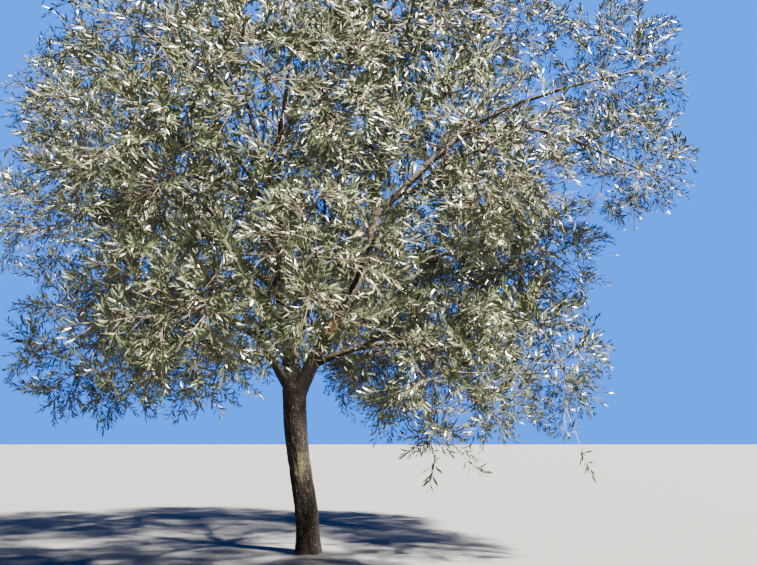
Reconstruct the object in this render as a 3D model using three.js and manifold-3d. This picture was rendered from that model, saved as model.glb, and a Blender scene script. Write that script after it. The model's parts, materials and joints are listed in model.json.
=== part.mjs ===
// Olive tree: a short leaning trunk that forks low into leaders and arms, with boughs that end in foliage.
// Millimetres, +Z up, +X to the right. The origin is in the middle of the flat cut at ground level.

import * as THREE from 'three';
import { mergeVertices } from 'three/addons/utils/BufferGeometryUtils.js';
import Module from 'manifold-3d';

const wasm = await Module();
wasm.setup();

// Trunk
const TRUNK_HEIGHT = 1100;
const TRUNK_LEAN = 118; // how far its top stands to the left of its foot
const TRUNK_BOW = 12;
const TRUNK_FOOT_RADIUS = 82;
const TRUNK_WAIST_RADIUS = 80;
const TRUNK_WAIST = 0.7; // share of its height where the taper ends
const FORK_SWELL = 5;
const FORK_SWELL_ONSET = 6; // the higher, the closer the swelling keeps to the fork
const FORK_DOME = 42; // height of the rounded top between the limbs
const DOME_TURN = 0.42 * Math.PI;
const ROOT_FLARE = 9;
const FLARE_HEIGHT = 85;
const ROOT_LOBES = 5;
const LOBE_DEPTH = 0.13;
const FLUTES = 3;
const FLUTE_DEPTH = 0.035;
const FLUTE_TWIST = 3; // radians over the trunk's height
const TRUNK_SIDES = 14;
const TRUNK_RINGS = 11;
const DOME_RINGS = 2;

// Limbs: every limb is walked out in short steps from a point on its parent's centre line.
// Angles are degrees. Azimuth runs from +X towards +Y, and rise is up from level. Turn and lift
// are how much each changes from root to tip.
const LIMB_STEPS = 10;
const LIMB_SWAY = 5;
const SWAY_TURNS = 1.3;
const SWAY_LIFTS = 1.1;
const PHASE_STEP = 0.37; // sets each limb's sway apart from the last one's
const COLLAR_SWELL = 0.35;
const COLLAR_REACH = 2.2; // in root radii
const THICK_LIMB = 30; // a root radius above this has more sides and a ring at every step
const THICK_SIDES = 8;
const THIN_SIDES = 6;
const THIN_STRIDE = 2;
const TRUNK_RING_CROWD = 1.25; // the trunk's rings stand closer together near the ground
const CLEARANCE = 0.3;

const LIMBS = {
  right_leader: { from: 'trunk', at: 0.94, azimuth: 1, turn: 6,
    rise: 59, lift: 16, length: 1530, root: 54, tip: 35 },
  left_leader: { from: 'trunk', at: 0.92, azimuth: 165, turn: 10,
    rise: 85, lift: -6, length: 1870, root: 50, tip: 27 },
  front_arm: { from: 'trunk', at: 0.96, azimuth: -112, turn: 12,
    rise: 36, lift: -30, length: 1170, root: 37, tip: 17,
    leafy: { rise: -8, reach: 660, spread: 640, height: 550 } },
  back_arm: { from: 'trunk', at: 0.95, azimuth: 93, turn: -12,
    rise: 50, lift: -6, length: 1820, root: 42, tip: 18,
    leafy: { rise: 25, reach: 680, spread: 730, height: 680 } },
  right_arm: { from: 'right_leader', at: 0.97, azimuth: -1, turn: -6,
    rise: 52, lift: -34, length: 1680, root: 31, tip: 14,
    leafy: { rise: 12, reach: 550, spread: 590, height: 640 } },
  right_drop: { from: 'right_arm', at: 0.5, azimuth: -25, turn: 10,
    rise: 18, lift: -50, length: 830, root: 16, tip: 11,
    leafy: { rise: -30, reach: 530, spread: 530, height: 480 } },
  right_crest: { from: 'right_arm', at: 0.3, azimuth: 3, turn: 10,
    rise: 53, lift: 16, length: 980, root: 18, tip: 12,
    leafy: { rise: 62, reach: 550, spread: 620, height: 550 } },
  back_right_arm: { from: 'right_arm', at: 0.12, azimuth: 40, turn: 10,
    rise: 30, lift: -14, length: 1030, root: 21, tip: 12,
    leafy: { rise: 10, reach: 640, spread: 640, height: 660 } },
  centre_leader: { from: 'right_leader', at: 0.98, azimuth: 38, turn: -10,
    rise: 81, lift: 8, length: 1370, root: 27, tip: 14,
    leafy: { rise: 80, reach: 570, spread: 660, height: 620 } },
  front_crest: { from: 'centre_leader', at: 0.3, azimuth: -74, turn: -8,
    rise: 40, lift: -10, length: 790, root: 16, tip: 12,
    leafy: { rise: 14, reach: 640, spread: 660, height: 640 } },
  low_right_arm: { from: 'right_leader', at: 0.18, azimuth: -9, turn: -4,
    rise: 19, lift: -26, length: 1000, root: 27, tip: 14,
    leafy: { rise: -10, reach: 620, spread: 590, height: 570 } },
  low_front_arm: { from: 'low_right_arm', at: 0.4, azimuth: -60, turn: -16,
    rise: 16, lift: -40, length: 810, root: 17, tip: 11,
    leafy: { rise: -24, reach: 590, spread: 590, height: 530 } },
  right_bough: { from: 'right_leader', at: 0.5, azimuth: -2, turn: 8,
    rise: 37, lift: -22, length: 970, root: 23, tip: 13,
    leafy: { rise: 0, reach: 620, spread: 620, height: 590 } },
  front_right_bough: { from: 'right_leader', at: 0.62, azimuth: -71, turn: 10,
    rise: 33, lift: -20, length: 1070, root: 19, tip: 12,
    leafy: { rise: 2, reach: 660, spread: 680, height: 640 } },
  back_right_bough: { from: 'right_leader', at: 0.32, azimuth: 40, turn: 10,
    rise: 28, lift: -18, length: 1220, root: 21, tip: 12,
    leafy: { rise: 4, reach: 660, spread: 660, height: 640 } },
  left_crest: { from: 'left_leader', at: 0.97, azimuth: 170, turn: 10,
    rise: 71, lift: -8, length: 850, root: 23, tip: 13,
    leafy: { rise: 58, reach: 590, spread: 660, height: 590 } },
  centre_crest: { from: 'left_leader', at: 0.93, azimuth: -55, turn: -10,
    rise: 55, lift: 26, length: 880, root: 20, tip: 12,
    leafy: { rise: 72, reach: 570, spread: 640, height: 590 } },
  left_arm: { from: 'left_leader', at: 0.72, azimuth: 170, turn: 8,
    rise: 53, lift: -30, length: 1240, root: 22, tip: 12,
    leafy: { rise: 16, reach: 640, spread: 660, height: 640 } },
  left_bough: { from: 'left_leader', at: 0.42, azimuth: -166, turn: -8,
    rise: 44, lift: -28, length: 1090, root: 25, tip: 13,
    leafy: { rise: 4, reach: 660, spread: 640, height: 620 } },
  front_left_crest: { from: 'left_leader', at: 0.64, azimuth: -122, turn: 10,
    rise: 52, lift: -24, length: 1190, root: 19, tip: 12,
    leafy: { rise: 10, reach: 640, spread: 660, height: 640 } },
  front_left_bough: { from: 'left_leader', at: 0.28, azimuth: -121, turn: 14,
    rise: 49, lift: -34, length: 1340, root: 21, tip: 12,
    leafy: { rise: 4, reach: 640, spread: 660, height: 570 } },
  front_bough: { from: 'left_leader', at: 0.36, azimuth: -89, turn: 10,
    rise: 44, lift: -22, length: 1440, root: 19, tip: 12,
    leafy: { rise: 20, reach: 620, spread: 660, height: 620 } },
  low_left_arm: { from: 'front_arm', at: 0.34, azimuth: -144, turn: -14,
    rise: 21, lift: -22, length: 620, root: 21, tip: 12,
    leafy: { rise: -8, reach: 590, spread: 590, height: 530 } },
  low_front_bough: { from: 'front_arm', at: 0.5, azimuth: -85, turn: 20,
    rise: 37, lift: -24, length: 810, root: 17, tip: 11,
    leafy: { rise: -4, reach: 590, spread: 620, height: 530 } },
  back_left_arm: { from: 'back_arm', at: 0.3, azimuth: 137, turn: 14,
    rise: 28, lift: -20, length: 1010, root: 23, tip: 12,
    leafy: { rise: 2, reach: 640, spread: 660, height: 640 } },
  back_crest: { from: 'back_arm', at: 0.85, azimuth: 70, turn: -20,
    rise: 72, lift: 14, length: 1050, root: 19, tip: 12,
    leafy: { rise: 70, reach: 590, spread: 680, height: 640 } },
  back_left_bough: { from: 'back_arm', at: 0.6, azimuth: 157, turn: 10,
    rise: 53, lift: -16, length: 1210, root: 19, tip: 12,
    leafy: { rise: 24, reach: 640, spread: 660, height: 660 } },
  back_low_bough: { from: 'back_arm', at: 0.42, azimuth: 69, turn: -10,
    rise: 17, lift: -26, length: 940, root: 19, tip: 12,
    leafy: { rise: -10, reach: 620, spread: 660, height: 590 } },
};

// Foliage: each mass fills an egg round a point beyond its bough's tip, as far as its neighbours'
// masses leave it room.
const SEAT = 0.84; // from the bough's tip to the egg's centre, in reaches
const CELL_MARGIN = 5;
const LIMB_MARGIN = 6;
const STEM_FOOT = 30; // the straight start of the stem, in line with the bough's tip
const STEM_RINGS = 2;
const STEM_SIDES = 4;
const STEM_TIP_RADIUS = 13;
const STEM_BEND = 0.4; // how far it keeps the bough's direction, in reaches
const STEM_REACH = 0.3; // past the egg's centre, in reaches
const TWIGS = 5;
const TWIG_SIDES = 3;
const TWIG_RADIUS = 6.5;
const TWIG_TIP_RADIUS = 6;
const TWIG_REACH = 0.5; // of the way from the egg's centre to its skin
const TWIG_REACH_VARIES = 0.06;
const TWIG_BACKMOST = -0.72; // how far back towards the bough twigs point, as a cosine
const TWIG_ROOT_SHARE = 0.15; // of a twig, next to the stem, that isn't tested against the limbs
const TWIG_STATIONS = { first: 0.4, last: 0.96 }; // along the stem
const LEAF_STATIONS = [0.5, 0.7, 0.86, 1]; // the last one carries on along the twig
const LEAF_LENGTH = 420;
const LEAF_WIDTH = 142;
const LEAF_THICKNESS = 6.5;
const LEAF_SINK = 3;
const LEAF_SPLAY = THREE.MathUtils.degToRad(55); // between a leaf and its twig
const LEAF_TURN = 2.1; // round the twig from one leaf to the next, in radians
const LEAF_ROLLS = [0, 0.9, -0.9]; // turns round the twig that are tried, in radians
const ROOT_OVERLAP = 160; // a leaf that sinks more than this many cubic millimetres into the rest is moved
const LEAF_SHOULDER = 0.17; // how far its side corners slide off the middle
const SHRINKS = [1, 0.86, 0.72]; // what doesn't fit is tried again smaller, then skipped
const LOWEST_LEAF = 560;
const SEED = 5081;
const SEED_STEP = 7919;
const GOLDEN_TURN = Math.PI * (3 - Math.sqrt(5));
const UP = new THREE.Vector3(0, 0, 1);

const bark = new THREE.MeshStandardMaterial({ color: 0x5a4c3f, roughness: 0.93, metalness: 0 });
const youngBark = new THREE.MeshStandardMaterial({ color: 0x83715c, roughness: 0.88, metalness: 0 });
const leafage = new THREE.MeshStandardMaterial({ color: 0x8b957c, roughness: 0.62, metalness: 0 });

// Seeded numbers between 0 and 1, the same on every run.
class Seeded {
  constructor(seed) {
    this.state = seed;
  }

  next() {
    this.state = (this.state * 16807) % 2147483647;
    return this.state / 2147483647;
  }

  spread(half) {
    return (2 * this.next() - 1) * half;
  }
}

function heading(azimuth, rise) {
  const a = THREE.MathUtils.degToRad(azimuth);
  const e = THREE.MathUtils.degToRad(rise);
  return new THREE.Vector3(Math.cos(e) * Math.cos(a), Math.cos(e) * Math.sin(a), Math.sin(e));
}

function pointAt(line, station) {
  const x = THREE.MathUtils.clamp(station, 0, 1) * (line.length - 1);
  const i = Math.min(Math.floor(x), line.length - 2);
  return line[i].clone().lerp(line[i + 1], x - i);
}

function trunkLine() {
  const line = [];
  for (let i = 0; i <= LIMB_STEPS; i++) {
    const t = i / LIMB_STEPS;
    line.push(new THREE.Vector3(
      -TRUNK_LEAN * t + TRUNK_BOW * Math.sin(2 * Math.PI * t),
      TRUNK_BOW * Math.sin(Math.PI * t),
      TRUNK_HEIGHT * t,
    ));
  }
  return line;
}

function limbLine(start, row, phase) {
  const line = [start.clone()];
  for (let i = 0; i < LIMB_STEPS; i++) {
    const t = (i + 0.5) / LIMB_STEPS;
    const sway = LIMB_SWAY * Math.sin(2 * Math.PI * (SWAY_TURNS * t + phase));
    const bob = LIMB_SWAY * Math.cos(2 * Math.PI * (SWAY_LIFTS * t + phase));
    const step = heading(row.azimuth + row.turn * t + sway, row.rise + row.lift * t + bob);
    line.push(line[i].clone().addScaledVector(step, row.length / LIMB_STEPS));
  }
  return line;
}

// A closed tube with a ring at every point of a line: a cylinder whose rings are moved there.
function tube(line, radii, sides) {
  const rings = line.length - 1;
  const geometry = new THREE.CylinderGeometry(1, 1, 1, sides, rings);
  const position = geometry.attributes.position;
  const frames = [];
  let side = null;
  for (let i = 0; i <= rings; i++) {
    const ahead = line[Math.min(i + 1, rings)].clone().sub(line[Math.max(i - 1, 0)]).normalize();
    side ??= Math.abs(ahead.y) < 0.8 ? new THREE.Vector3(0, 1, 0) : new THREE.Vector3(0, 0, 1);
    side = side.clone().addScaledVector(ahead, -side.dot(ahead)).normalize();
    frames.push({ side, across: side.clone().cross(ahead) });
  }
  for (let v = 0; v < position.count; v++) {
    const i = Math.round((position.getY(v) + 0.5) * rings);
    const point = line[i].clone()
      .addScaledVector(frames[i].side, position.getX(v) * radii[i])
      .addScaledVector(frames[i].across, position.getZ(v) * radii[i]);
    position.setXYZ(v, point.x, point.y, point.z);
  }
  return geometry;
}

function solidOf(geometry) {
  geometry.deleteAttribute('normal');
  geometry.deleteAttribute('uv');
  const merged = mergeVertices(geometry, 1e-3);
  return new wasm.Manifold(new wasm.Mesh({
    numProp: 3,
    vertProperties: new Float32Array(merged.attributes.position.array),
    triVerts: new Uint32Array(merged.index.array),
  }));
}

function geometryOf(solid) {
  const mesh = solid.getMesh();
  const geometry = new THREE.BufferGeometry();
  geometry.setAttribute('position', new THREE.BufferAttribute(mesh.vertProperties, 3));
  geometry.setIndex(new THREE.BufferAttribute(mesh.triVerts, 1));
  return geometry;
}

function largestPiece(solid) {
  return solid.decompose().reduce((best, piece) => (piece.volume() > best.volume() ? piece : best));
}

// The trunk: level rings, lobed and flared at the foot, with a rounded top inside the fork.
function trunkRadius(height, angle) {
  const t = Math.min(height / TRUNK_HEIGHT, 1);
  const taper = THREE.MathUtils.lerp(TRUNK_FOOT_RADIUS, TRUNK_WAIST_RADIUS, Math.min(t / TRUNK_WAIST, 1));
  const flare = ROOT_FLARE * Math.exp(-height / FLARE_HEIGHT);
  const lobes = LOBE_DEPTH * Math.cos(ROOT_LOBES * angle) * Math.exp(-height / (2 * FLARE_HEIGHT));
  const flutes = FLUTE_DEPTH * Math.cos(FLUTES * angle + FLUTE_TWIST * t);
  return (taper + flare + FORK_SWELL * t ** FORK_SWELL_ONSET) * (1 + lobes + flutes);
}

function trunkSolid(line, grown) {
  const rings = TRUNK_RINGS + DOME_RINGS;
  const geometry = new THREE.CylinderGeometry(1, 1, 1, TRUNK_SIDES, rings);
  const position = geometry.attributes.position;
  for (let v = 0; v < position.count; v++) {
    const ring = Math.round((position.getY(v) + 0.5) * rings);
    const dome = Math.max(ring - TRUNK_RINGS, 0) / DOME_RINGS;
    const t = Math.min(ring / TRUNK_RINGS, 1) ** TRUNK_RING_CROWD;
    const angle = Math.atan2(-position.getZ(v), position.getX(v));
    const onAxis = Math.hypot(position.getX(v), position.getZ(v)) < 0.5;
    const round = Math.cos(dome * DOME_TURN);
    const radius = onAxis ? 0 : trunkRadius(TRUNK_HEIGHT * t, angle) * round + grown;
    const centre = pointAt(line, t);
    const top = FORK_DOME * Math.sin((dome * Math.PI) / 2) + (dome > 0 ? grown : 0);
    position.setXYZ(
      v,
      centre.x + radius * Math.cos(angle),
      centre.y + radius * Math.sin(angle),
      centre.z + top,
    );
  }
  return solidOf(geometry);
}

function limbRadius(row, t) {
  const collar = COLLAR_SWELL * Math.exp((-t * row.length) / (COLLAR_REACH * row.root));
  return THREE.MathUtils.lerp(row.root, row.tip, t) * (1 + collar);
}

// The points of a limb's line that get a ring.
function ringsOf({ line, row }) {
  const stride = row.root > THICK_LIMB ? 1 : THIN_STRIDE;
  return line.filter((point, i) => i % stride === 0);
}

// The same rings with both ends moved outward, for a limb that cuts others clear of itself.
function stretched(rings, by) {
  const longer = rings.map((point) => point.clone());
  for (const [end, next] of [[0, 1], [rings.length - 1, rings.length - 2]]) {
    longer[end].addScaledVector(rings[end].clone().sub(rings[next]).normalize(), by);
  }
  return longer;
}

function limbSolid(limb, grown) {
  const rings = stretched(ringsOf(limb), grown);
  const radii = rings.map((point, i) => limbRadius(limb.row, i / (rings.length - 1)) + grown);
  return solidOf(tube(rings, radii, limb.row.root > THICK_LIMB ? THICK_SIDES : THIN_SIDES));
}

// The egg that a mass of foliage fills, and the boundaries it shares with its neighbours.
class Mass {
  constructor(name, index, limb) {
    const { row } = limb;
    const { rise, reach, spread, height } = row.leafy;
    const [before, tip] = ringsOf(limb).slice(-2);
    this.name = name;
    this.index = index;
    this.row = row;
    this.tip = tip;
    this.ahead = tip.clone().sub(before).normalize();
    this.azimuth = row.azimuth + row.turn;
    this.radii = new THREE.Vector3(reach, spread, height);
    this.centre = this.tip.clone().addScaledVector(heading(this.azimuth, rise), SEAT * reach);
    this.mean = (reach + spread + height) / 3;
    this.turned = THREE.MathUtils.degToRad(this.azimuth);
  }

  // From a direction and a share of the way out to the egg's skin to a point.
  within(direction, share) {
    return direction.clone().multiply(this.radii).multiplyScalar(share)
      .applyAxisAngle(UP, this.turned).add(this.centre);
  }

  power(point) {
    return point.distanceToSquared(this.centre) - this.mean ** 2;
  }

  holds(point, masses) {
    const local = point.clone().sub(this.centre).applyAxisAngle(UP, -this.turned);
    if (local.divide(this.radii).length() > 1 || point.z < LOWEST_LEAF) return false;
    return masses.every((other) => other === this
      || (other.power(point) - this.power(point)) / (2 * this.centre.distanceTo(other.centre)) > CELL_MARGIN);
  }
}

// Whether a straight stretch with this radius keeps clear of the trunk and of every limb.
function clearOfLimbs(from, to, radius, limbs) {
  const edge = new THREE.Line3(from, to);
  const part = new THREE.Line3();
  return limbs.every(({ line, row }) => {
    for (let i = 0; i < line.length - 1; i++) {
      part.set(line[i], line[i + 1]);
      const needed = radius + LIMB_MARGIN + (row ? limbRadius(row, i / LIMB_STEPS) : TRUNK_FOOT_RADIUS);
      if (edge.distanceSqToLine3(part) < needed ** 2) return false;
    }
    return true;
  });
}

function perpendicular(direction) {
  const guide = Math.abs(direction.z) < 0.9 ? UP.clone() : new THREE.Vector3(1, 0, 0);
  return guide.addScaledVector(direction, -guide.dot(direction)).normalize();
}

// The stem of a mass: straight on from its bough's tip, then over to just past the egg's centre.
function stemLine(mass) {
  const start = mass.tip.clone().addScaledVector(mass.ahead, CLEARANCE);
  const foot = start.clone().addScaledVector(mass.ahead, STEM_FOOT);
  const reach = mass.radii.x;
  const bend = foot.clone().addScaledVector(mass.ahead, STEM_BEND * reach);
  const end = mass.centre.clone()
    .addScaledVector(mass.centre.clone().sub(mass.tip).normalize(), STEM_REACH * reach);
  const curve = new THREE.QuadraticBezierCurve3(foot, bend, end);
  return [start, ...curve.getPoints(STEM_RINGS)];
}

function stemSolid(mass, line) {
  const last = line.length - 1;
  const radii = line.map((point, i) => THREE.MathUtils.lerp(mass.row.tip, STEM_TIP_RADIUS, i / last));
  return solidOf(tube(line, radii, STEM_SIDES));
}

// A leaf is an octahedron sheared flat: two of its corners are the root and the tip, and the
// other four slide along the blade, so that it has six corners in outline and eight faces.
function leafGeometry(root, along, face, length) {
  const scale = length / LEAF_LENGTH;
  const half = (LEAF_WIDTH * scale) / 2;
  const thick = LEAF_THICKNESS / 2;
  const side = face.clone().cross(along).normalize();
  const up = along.clone().cross(side);
  const blade = new THREE.Matrix4().set(
    0.5 * length, -LEAF_SHOULDER * length, LEAF_SHOULDER * length, 0.5 * length,
    0, half, half, 0,
    0, -thick, thick, 0,
    0, 0, 0, 1,
  );
  const seat = new THREE.Matrix4().makeBasis(along, side, up).setPosition(root);
  const geometry = new THREE.OctahedronGeometry(1);
  geometry.applyMatrix4(seat.multiply(blade));
  return geometry;
}

function corners({ attributes: { position } }) {
  const corner = (_, v) => new THREE.Vector3().fromBufferAttribute(position, v);
  return Array.from({ length: position.count }, corner);
}

// Grows twigs and leaves inside each mass's own space, clear of the limbs and of each other.
class Grower {
  constructor(masses, limbs) {
    this.masses = masses;
    this.limbs = limbs;
  }

  fits(mass, geometry, from, to, radius) {
    return corners(geometry).every((corner) => mass.holds(corner, this.masses))
      && clearOfLimbs(from, to, radius, this.limbs);
  }

  twig(mass, from, to) {
    for (const shrink of SHRINKS) {
      const end = from.clone().lerp(to, shrink);
      const geometry = tube([from, end], [TWIG_RADIUS, TWIG_TIP_RADIUS], TWIG_SIDES);
      if (this.fits(mass, geometry, from.clone().lerp(end, TWIG_ROOT_SHARE), end, TWIG_RADIUS)) {
        return { geometry, from, end };
      }
    }
    return null;
  }

  leaf(mass, twig, station, turn, grown) {
    const along = twig.end.clone().sub(twig.from).normalize();
    const root = twig.from.clone().lerp(twig.end, station);
    const splay = station < 1 ? LEAF_SPLAY : 0;
    for (const shrink of SHRINKS) {
      for (const roll of LEAF_ROLLS) {
        const out = perpendicular(along).applyAxisAngle(along, turn + roll);
        const leafAlong = along.clone().applyAxisAngle(out, splay);
        const sunk = root.clone().addScaledVector(leafAlong, -LEAF_SINK);
        const length = LEAF_LENGTH * shrink;
        const end = sunk.clone().addScaledVector(leafAlong, length);
        const geometry = leafGeometry(sunk, leafAlong, out, length);
        if (!this.fits(mass, geometry, root, end, (LEAF_WIDTH * shrink) / 2)) continue;
        const solid = solidOf(geometry);
        if (grown.intersect(solid).volume() < ROOT_OVERLAP) return solid;
      }
    }
    return null;
  }

  grow(mass) {
    const random = new Seeded(SEED + SEED_STEP * mass.index);
    const stem = stemLine(mass);
    const phase = random.next() * 2 * Math.PI;
    const twigs = [];
    for (let j = 0; j < TWIGS; j++) {
      const share = (j + 0.5) / TWIGS;
      const forward = THREE.MathUtils.lerp(1, TWIG_BACKMOST, share);
      const around = phase + j * GOLDEN_TURN;
      const round = Math.sqrt(1 - forward ** 2);
      const aim = new THREE.Vector3(forward, round * Math.cos(around), round * Math.sin(around));
      const reach = TWIG_REACH + random.spread(TWIG_REACH_VARIES);
      const station = THREE.MathUtils.lerp(TWIG_STATIONS.last, TWIG_STATIONS.first, share);
      const roll = random.next() * 2 * Math.PI;
      const twig = this.twig(mass, pointAt(stem, station), mass.within(aim, reach));
      if (twig) twigs.push({ ...twig, roll });
    }
    let grown = twigs.reduce((sum, twig) => sum.add(solidOf(twig.geometry)), stemSolid(mass, stem));
    LEAF_STATIONS.forEach((station, k) => {
      for (const twig of twigs) {
        const leaf = this.leaf(mass, twig, station, twig.roll + k * LEAF_TURN, grown);
        if (leaf) grown = grown.add(leaf);
      }
    });
    return largestPiece(grown);
  }
}

// Every limb starts on its parent's centre line and is cut clear of the limbs before it.
function growLimbs() {
  const limbs = [{ name: 'trunk', line: trunkLine() }];
  Object.entries(LIMBS).forEach(([name, row], index) => {
    const parent = limbs.find((limb) => limb.name === row.from);
    const phase = (index * PHASE_STEP) % 1;
    limbs.push({ name, row, line: limbLine(pointAt(parent.line, row.at), row, phase) });
  });
  return limbs;
}

function limbSolids(limbs) {
  const solid = (limb, grown) => (limb.row ? limbSolid(limb, grown) : trunkSolid(limb.line, grown));
  const cutters = limbs.map((limb) => solid(limb, CLEARANCE));
  return limbs.map((limb, i) => (
    largestPiece(cutters.slice(0, i).reduce((rest, cutter) => rest.subtract(cutter), solid(limb, 0)))
  ));
}

const limbs = growLimbs();
const masses = limbs.filter(({ row }) => row?.leafy)
  .map((limb, index) => new Mass(`${limb.name}_foliage`, index, limb));
const grower = new Grower(masses, limbs);

const tree = new THREE.Group();
limbSolids(limbs).forEach((solid, i) => {
  const { name, row } = limbs[i];
  const mesh = new THREE.Mesh(geometryOf(solid), row && row.root <= THICK_LIMB ? youngBark : bark);
  mesh.name = name;
  tree.add(mesh);
});
for (const mass of masses) {
  const mesh = new THREE.Mesh(geometryOf(grower.grow(mass)), leafage);
  mesh.name = mass.name;
  tree.add(mesh);
}

export default tree;
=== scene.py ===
"""An olive tree: bark, twigs and leaves for a short leaning trunk, its forked leaders and its crown.

Metres, +Z up, +X to the right. The origin is in the middle of the flat cut at ground level. Bark,
twigs and leaves follow the rules that shape the frame's solids, and carry them on to finer twigs.
"""

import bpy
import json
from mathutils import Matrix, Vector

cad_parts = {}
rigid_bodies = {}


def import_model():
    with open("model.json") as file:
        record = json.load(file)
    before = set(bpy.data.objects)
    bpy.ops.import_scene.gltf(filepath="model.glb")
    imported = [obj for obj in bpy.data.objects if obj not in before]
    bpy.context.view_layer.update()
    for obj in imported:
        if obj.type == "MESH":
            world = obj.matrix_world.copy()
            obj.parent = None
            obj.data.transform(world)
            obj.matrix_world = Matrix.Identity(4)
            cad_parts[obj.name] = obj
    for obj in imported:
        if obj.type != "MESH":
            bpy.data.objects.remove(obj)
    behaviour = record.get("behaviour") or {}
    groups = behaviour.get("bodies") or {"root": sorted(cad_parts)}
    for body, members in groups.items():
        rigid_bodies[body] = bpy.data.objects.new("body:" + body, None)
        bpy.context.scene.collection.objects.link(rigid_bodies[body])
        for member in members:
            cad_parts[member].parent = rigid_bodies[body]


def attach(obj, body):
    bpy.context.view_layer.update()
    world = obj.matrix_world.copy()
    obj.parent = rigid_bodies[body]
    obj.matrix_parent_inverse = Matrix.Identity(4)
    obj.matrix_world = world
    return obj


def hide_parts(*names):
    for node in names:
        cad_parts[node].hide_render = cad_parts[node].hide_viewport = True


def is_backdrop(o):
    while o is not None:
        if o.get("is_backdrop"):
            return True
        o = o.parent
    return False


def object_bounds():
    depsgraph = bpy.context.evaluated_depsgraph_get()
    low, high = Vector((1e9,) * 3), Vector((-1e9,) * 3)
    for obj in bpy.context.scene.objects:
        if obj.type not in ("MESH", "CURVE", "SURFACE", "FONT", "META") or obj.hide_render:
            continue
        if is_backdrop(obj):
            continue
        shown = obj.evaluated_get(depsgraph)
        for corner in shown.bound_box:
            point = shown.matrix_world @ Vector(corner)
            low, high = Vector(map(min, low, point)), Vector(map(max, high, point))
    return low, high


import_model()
CAD_BOX = [list(corner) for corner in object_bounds()]

import json
import logging
import math
from dataclasses import dataclass, fields, replace
from enum import Enum
from itertools import pairwise
from typing import Self

import bmesh
import bpy
import numpy as np
from mathutils import Matrix, Vector, noise

log = logging.getLogger("olive_tree")

Array = np.ndarray
Random = np.random.Generator

MM = 0.001
UP = np.array([0.0, 0.0, 1.0])
GOLDEN_TURN = math.pi * (3 - math.sqrt(5))
TINY = 1e-12
HEART = np.array([0.15, 0.05, 2.4])
BLACK = (0, 0, 0, 1)
BODY = "root"


def span(vectors: Array) -> Array:
    """How long vectors are."""
    return np.linalg.norm(vectors, axis=-1)


def unit(vectors: Array) -> Array:
    """Gives vectors a length of one."""
    return vectors / np.maximum(span(vectors), TINY)[..., None]


def dot(a: Array, b: Array) -> Array:
    """The dot products of two arrays of vectors, with the last axis kept."""
    return (a * b).sum(axis=-1, keepdims=True)


def lerp(a: float | Array, b: float | Array, share: float | Array) -> float | Array:
    """Goes from a to b by a share."""
    return a + (b - a) * share


def heading(azimuth: float, rise: float) -> Array:
    """The direction with this azimuth, from +X towards +Y, and rise above level, in degrees."""
    a, e = math.radians(azimuth), math.radians(rise)
    return np.array([math.cos(e) * math.cos(a), math.cos(e) * math.sin(a), math.sin(e)])


def point_at(line: Array, station: float | Array) -> Array:
    """The point, or the vector, at each share of the way along a line of evenly counted ones."""
    x = np.clip(station, 0, 1) * (len(line) - 1)
    i = np.minimum(np.asarray(x).astype(int), len(line) - 2)
    return lerp(line[i], line[i + 1], (x - i)[..., None])


def smooth_line(line: Array, count: int) -> Array:
    """Puts evenly counted points on a smooth curve through the points of a line."""
    padded = np.vstack([2 * line[0] - line[1], line, 2 * line[-1] - line[-2]])
    x = np.linspace(0, len(line) - 1, count)
    i = np.minimum(x.astype(int), len(line) - 2)
    f = (x - i)[:, None]
    a, b, c, d = (padded[i + k] for k in range(4))
    return 0.5 * (2 * b + (c - a) * f + (2 * a - 5 * b + 4 * c - d) * f**2 + (3 * b - a - 3 * c + d) * f**3)


def from_heart(points: Array) -> Array:
    """How far points are from the crown's heart."""
    return span(points - HEART)


def soft_noise(points: Array, scale: float) -> Array:
    """A soft random value round zero at each point, by a scale in folds a metre."""
    return np.array([noise.noise(Vector(point) * scale) for point in points])


def picked(random: Random, share: float, count: int) -> Array:
    """Picks a share of so many things."""
    return random.uniform(0, 1, count) < share


def add_object(name: str, data: bpy.types.ID) -> bpy.types.Object:
    """Adds an object to the scene."""
    made = bpy.data.objects.new(name, data)
    bpy.context.scene.collection.objects.link(made)
    return made


def mesh_from(name: str, bm: bmesh.types.BMesh) -> bpy.types.Mesh:
    """Makes a mesh from a finished bmesh and frees that."""
    mesh = bpy.data.meshes.new(name)
    bm.to_mesh(mesh)
    bm.free()
    return mesh


def frames_along(lines: Array, steep: float = 0.8) -> tuple[Array, Array, Array]:
    """Finds untwisted directions along one line or many.

    Args:
        lines: Points, with the place along the line as the last axis but one.
        steep: The share of Y in a line's first direction from which the frames start from Z instead.

    Returns:
        The directions ahead, to the side and across at every point.
    """
    step = np.diff(lines, axis=-2)
    inner = step[..., 1:, :] + step[..., :-1, :]
    ahead = unit(np.concatenate([step[..., :1, :], inner, step[..., -1:, :]], axis=-2))
    side = np.empty_like(ahead)
    guide = np.where(np.abs(ahead[..., 0, 1:2]) < steep, np.array([0.0, 1.0, 0.0]), UP)
    for k in range(lines.shape[-2]):
        guide = unit(guide - dot(guide, ahead[..., k, :]) * ahead[..., k, :])
        side[..., k, :] = guide
    return ahead, side, np.cross(side, ahead)


def outward(ways: Array, turn: Array) -> Array:
    """The direction across each way, at an angle round it."""
    _, side, across = frames_along(np.stack([0 * ways, ways], axis=1))
    return side[:, 0] * np.cos(turn)[:, None] + across[:, 0] * np.sin(turn)[:, None]


class Seeded:
    """Seeded numbers between 0 and 1, the same on every run."""

    MULTIPLIER = 16807
    MODULUS = 2147483647

    def __init__(self, seed: int) -> None:
        self.state = seed

    def next(self) -> float:
        """The next number."""
        self.state = (self.state * self.MULTIPLIER) % self.MODULUS
        return self.state / self.MODULUS

    def spread(self, half: float) -> float:
        """A number between minus half and half."""
        return (2 * self.next() - 1) * half


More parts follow.
